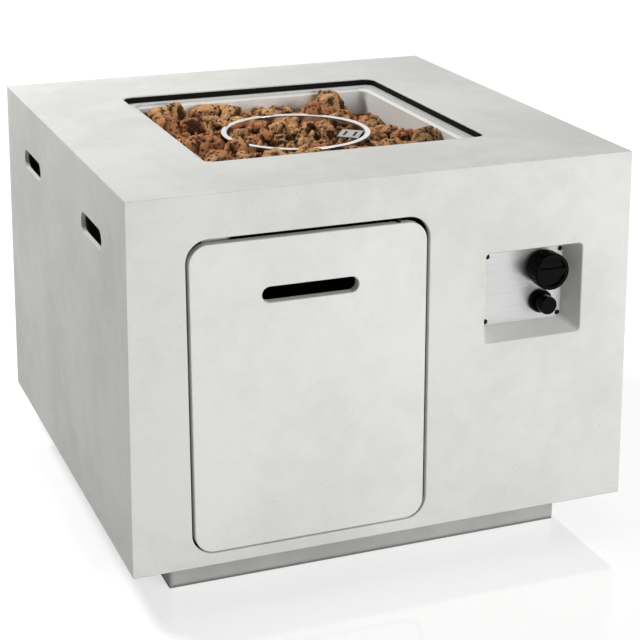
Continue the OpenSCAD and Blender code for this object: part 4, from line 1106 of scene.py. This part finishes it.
class FIREPIT_OT_control_plate(bpy.types.Operator):
    """Finish the control plate and make its cross-head screws"""

    bl_idname = "firepit.control_plate"
    bl_label = "Control Plate"

    def execute(self, context):
        soften("control_plate", "plate", "satin plate", SHEET_EDGE)
        plate_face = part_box("control_plate")[0].y
        screws = islands("plate_screws")
        low, high = screws[0]
        mesh = bpy.data.meshes.new("screws")
        mesh.from_pydata([((a.x + b.x) / 2, plate_face, (a.z + b.z) / 2) for a, b in screws], [], [])
        piece = new_piece("screws", mesh)
        run_tree(
            piece,
            cross_head_screws(),
            Head_Diameter=high.x - low.x,
            Head_Height=plate_face - low.y,
            Shank_Length=high.y - plate_face,
            Material=finish("black steel"),
        )
        settle(piece, "plate_screws")
        return {"FINISHED"}


class FIREPIT_OT_valve_and_knob(bpy.types.Operator):
    """Finish the gas valve, its inlet and the knob"""

    bl_idname = "firepit.valve_and_knob"
    bl_label = "Valve and Knob"

    def execute(self, context):
        soften("control_knob", "knob", "black plastic", settings().plastic.edge)
        paint("zinc plate", "gas_valve", "valve_stem")
        paint("machined brass", "valve_nut", "valve_inlet", "valve_plunger")
        return {"FINISHED"}


class FIREPIT_OT_igniter(bpy.types.Operator):
    """Finish the spark igniter and its button"""

    bl_idname = "firepit.igniter"
    bl_label = "Igniter"

    def execute(self, context):
        edge = settings().plastic.edge
        soften("igniter_body", "igniter_case", "black plastic", edge)
        soften("igniter_button", "button", "black plastic", edge)
        paint("black plastic", "igniter_nut")
        return {"FINISHED"}


class FIREPIT_OT_cylinder_bay(bpy.types.Operator):
    """Finish the sheet floor of the bay, its ring and the plinth's bolts"""

    bl_idname = "firepit.cylinder_bay"
    bl_label = "Cylinder Bay"

    def execute(self, context):
        paint("zinc plate", "tank_tray", "tank_ring", "plinth_bolts")
        return {"FINISHED"}


def shown_share(tree):
    """One for rays that come from the camera or from a mirror or glass, and nought for the rest."""
    path = add(tree, "ShaderNodeLightPath").outputs
    seen = calc(tree, "MAXIMUM", path["Is Camera Ray"], path["Is Glossy Ray"])
    return calc(tree, "MAXIMUM", seen, path["Is Transmission Ray"])


def area_lamp(name, place, size, power, mirrored=True):
    """A soft lamp. One that isn't mirrored leaves no bright patch on the floor."""
    lamp = bpy.data.lights.new(name, "AREA")
    lamp.shape = "RECTANGLE"
    lamp.size, lamp.size_y = size
    lamp.energy = power
    holder = new_piece(name, lamp)
    holder.location = place
    holder.visible_glossy = mirrored
    holder.rotation_euler = (Vector(LIT_POINT) - Vector(place)).to_track_quat("-Z", "Y").to_euler()


class FIREPIT_OT_stage(bpy.types.Operator):
    """Set the floor, the light and the camera"""

    bl_idname = "firepit.stage"
    bl_label = "Stage"

    def execute(self, context):
        stage = settings().stage
        self.lay_floor(stage)
        self.light(context, stage)
        self.aim(context, stage)
        context.scene.view_settings.view_transform = "Standard"
        return {"FINISHED"}

    def lay_floor(self, stage):
        """A glossy floor that shows itself white, apart from where the table stands."""
        mesh = bpy.data.meshes.new("floor")
        signs = ((-1, -1), (1, -1), (1, 1), (-1, 1))
        mesh.from_pydata([(FLOOR_REACH * x, FLOOR_REACH * y, 0.0) for x, y in signs], [], [(0, 1, 2, 3)])
        floor = new_piece("floor", mesh)
        material, tree, place = new_material("pale floor")
        x, y, _ = split(tree, place)
        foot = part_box("plinth")[1].x - settings().cast.edge
        beside = calc(tree, "GREATER_THAN", farthest(tree, x, y), foot)
        looks = {
            "Base Color": (*stage.floor, 1.0),
            "Roughness": 0.04,
            "Specular IOR Level": 0.65,
            "Emission Color": WHITE,
            "Emission Strength": times(tree, shown_share(tree), beside, stage.glow),
        }
        set_inputs(tree, tree.nodes[SHADER], looks)
        mesh.materials.append(material)
        floor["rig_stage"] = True

    def light(self, context, stage):
        """A world that looks white but gives little light, and two lamps."""
        world = bpy.data.worlds.new("studio")
        context.scene.world = world
        world.use_nodes = True
        tree = world.node_tree
        strength = add(tree, "ShaderNodeMix", {0: shown_share(tree), 2: stage.sky, 3: 1.0}).outputs[0]
        set_inputs(tree, tree.nodes["Background"], {"Color": WHITE, "Strength": strength})
        area_lamp("key lamp", KEY_PLACE, KEY_SIZE, stage.key)
        area_lamp("fill lamp", FILL_PLACE, FILL_SIZE, stage.fill, mirrored=False)

    def aim(self, context, stage):
        """A camera turned by its heading, elevation and roll."""
        lens = bpy.data.cameras.new("camera")
        lens.sensor_width = SENSOR_WIDTH
        lens.lens = stage.lens
        lens.shift_y = stage.shift
        camera = new_piece("camera", lens)
        turned = Matrix.Translation(stage.place)
        for axis, angle in (("Z", stage.heading), ("X", 90.0 - stage.height), ("Z", stage.roll)):
            turned = turned @ Matrix.Rotation(math.radians(angle), 4, axis)
        camera.matrix_world = turned
        context.scene.camera = camera


STEPS = (
    FIREPIT_OT_cast_shell,
    FIREPIT_OT_door,
    FIREPIT_OT_fire_pan,
    FIREPIT_OT_lava_stones,
    FIREPIT_OT_burner,
    FIREPIT_OT_control_plate,
    FIREPIT_OT_valve_and_knob,
    FIREPIT_OT_igniter,
    FIREPIT_OT_cylinder_bay,
    FIREPIT_OT_stage,
)


class FIREPIT_PT_panel(bpy.types.Panel):
    """Lists the steps and the finishes"""

    bl_label = "Fire Pit Table"
    bl_idname = "FIREPIT_PT_panel"
    bl_space_type = "VIEW_3D"
    bl_region_type = "UI"
    bl_category = "Fire Pit"

    def draw(self, context):
        look = settings()
        for group in (look.cast, look.stone, look.metal, look.plastic, look.stage):
            box = self.layout.box()
            for name in group.bl_rna.properties.keys():
                if name not in {"rna_type", "name"}:
                    box.prop(group, name)
        for step in STEPS:
            self.layout.operator(step.bl_idname)


CLASSES = (
    CastFinish,
    StoneFinish,
    MetalFinish,
    PlasticFinish,
    StageSetup,
    FirePitSettings,
    *STEPS,
    FIREPIT_PT_panel,
)


def register():
    for item in CLASSES:
        bpy.utils.register_class(item)
    bpy.types.Scene.fire_pit = PointerProperty(type=FirePitSettings)


def unregister():
    del bpy.types.Scene.fire_pit
    for item in reversed(CLASSES):
        bpy.utils.unregister_class(item)


def main():
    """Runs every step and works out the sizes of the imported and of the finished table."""
    register()
    for step in STEPS:
        group, name = step.bl_idname.split(".")
        getattr(getattr(bpy.ops, group), name)()
    boxes = {"cad": CAD_BOX, "visual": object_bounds()}
    {name: [list(corner) for corner in box] for name, box in boxes.items()}


if __name__ == "__main__":
    main()
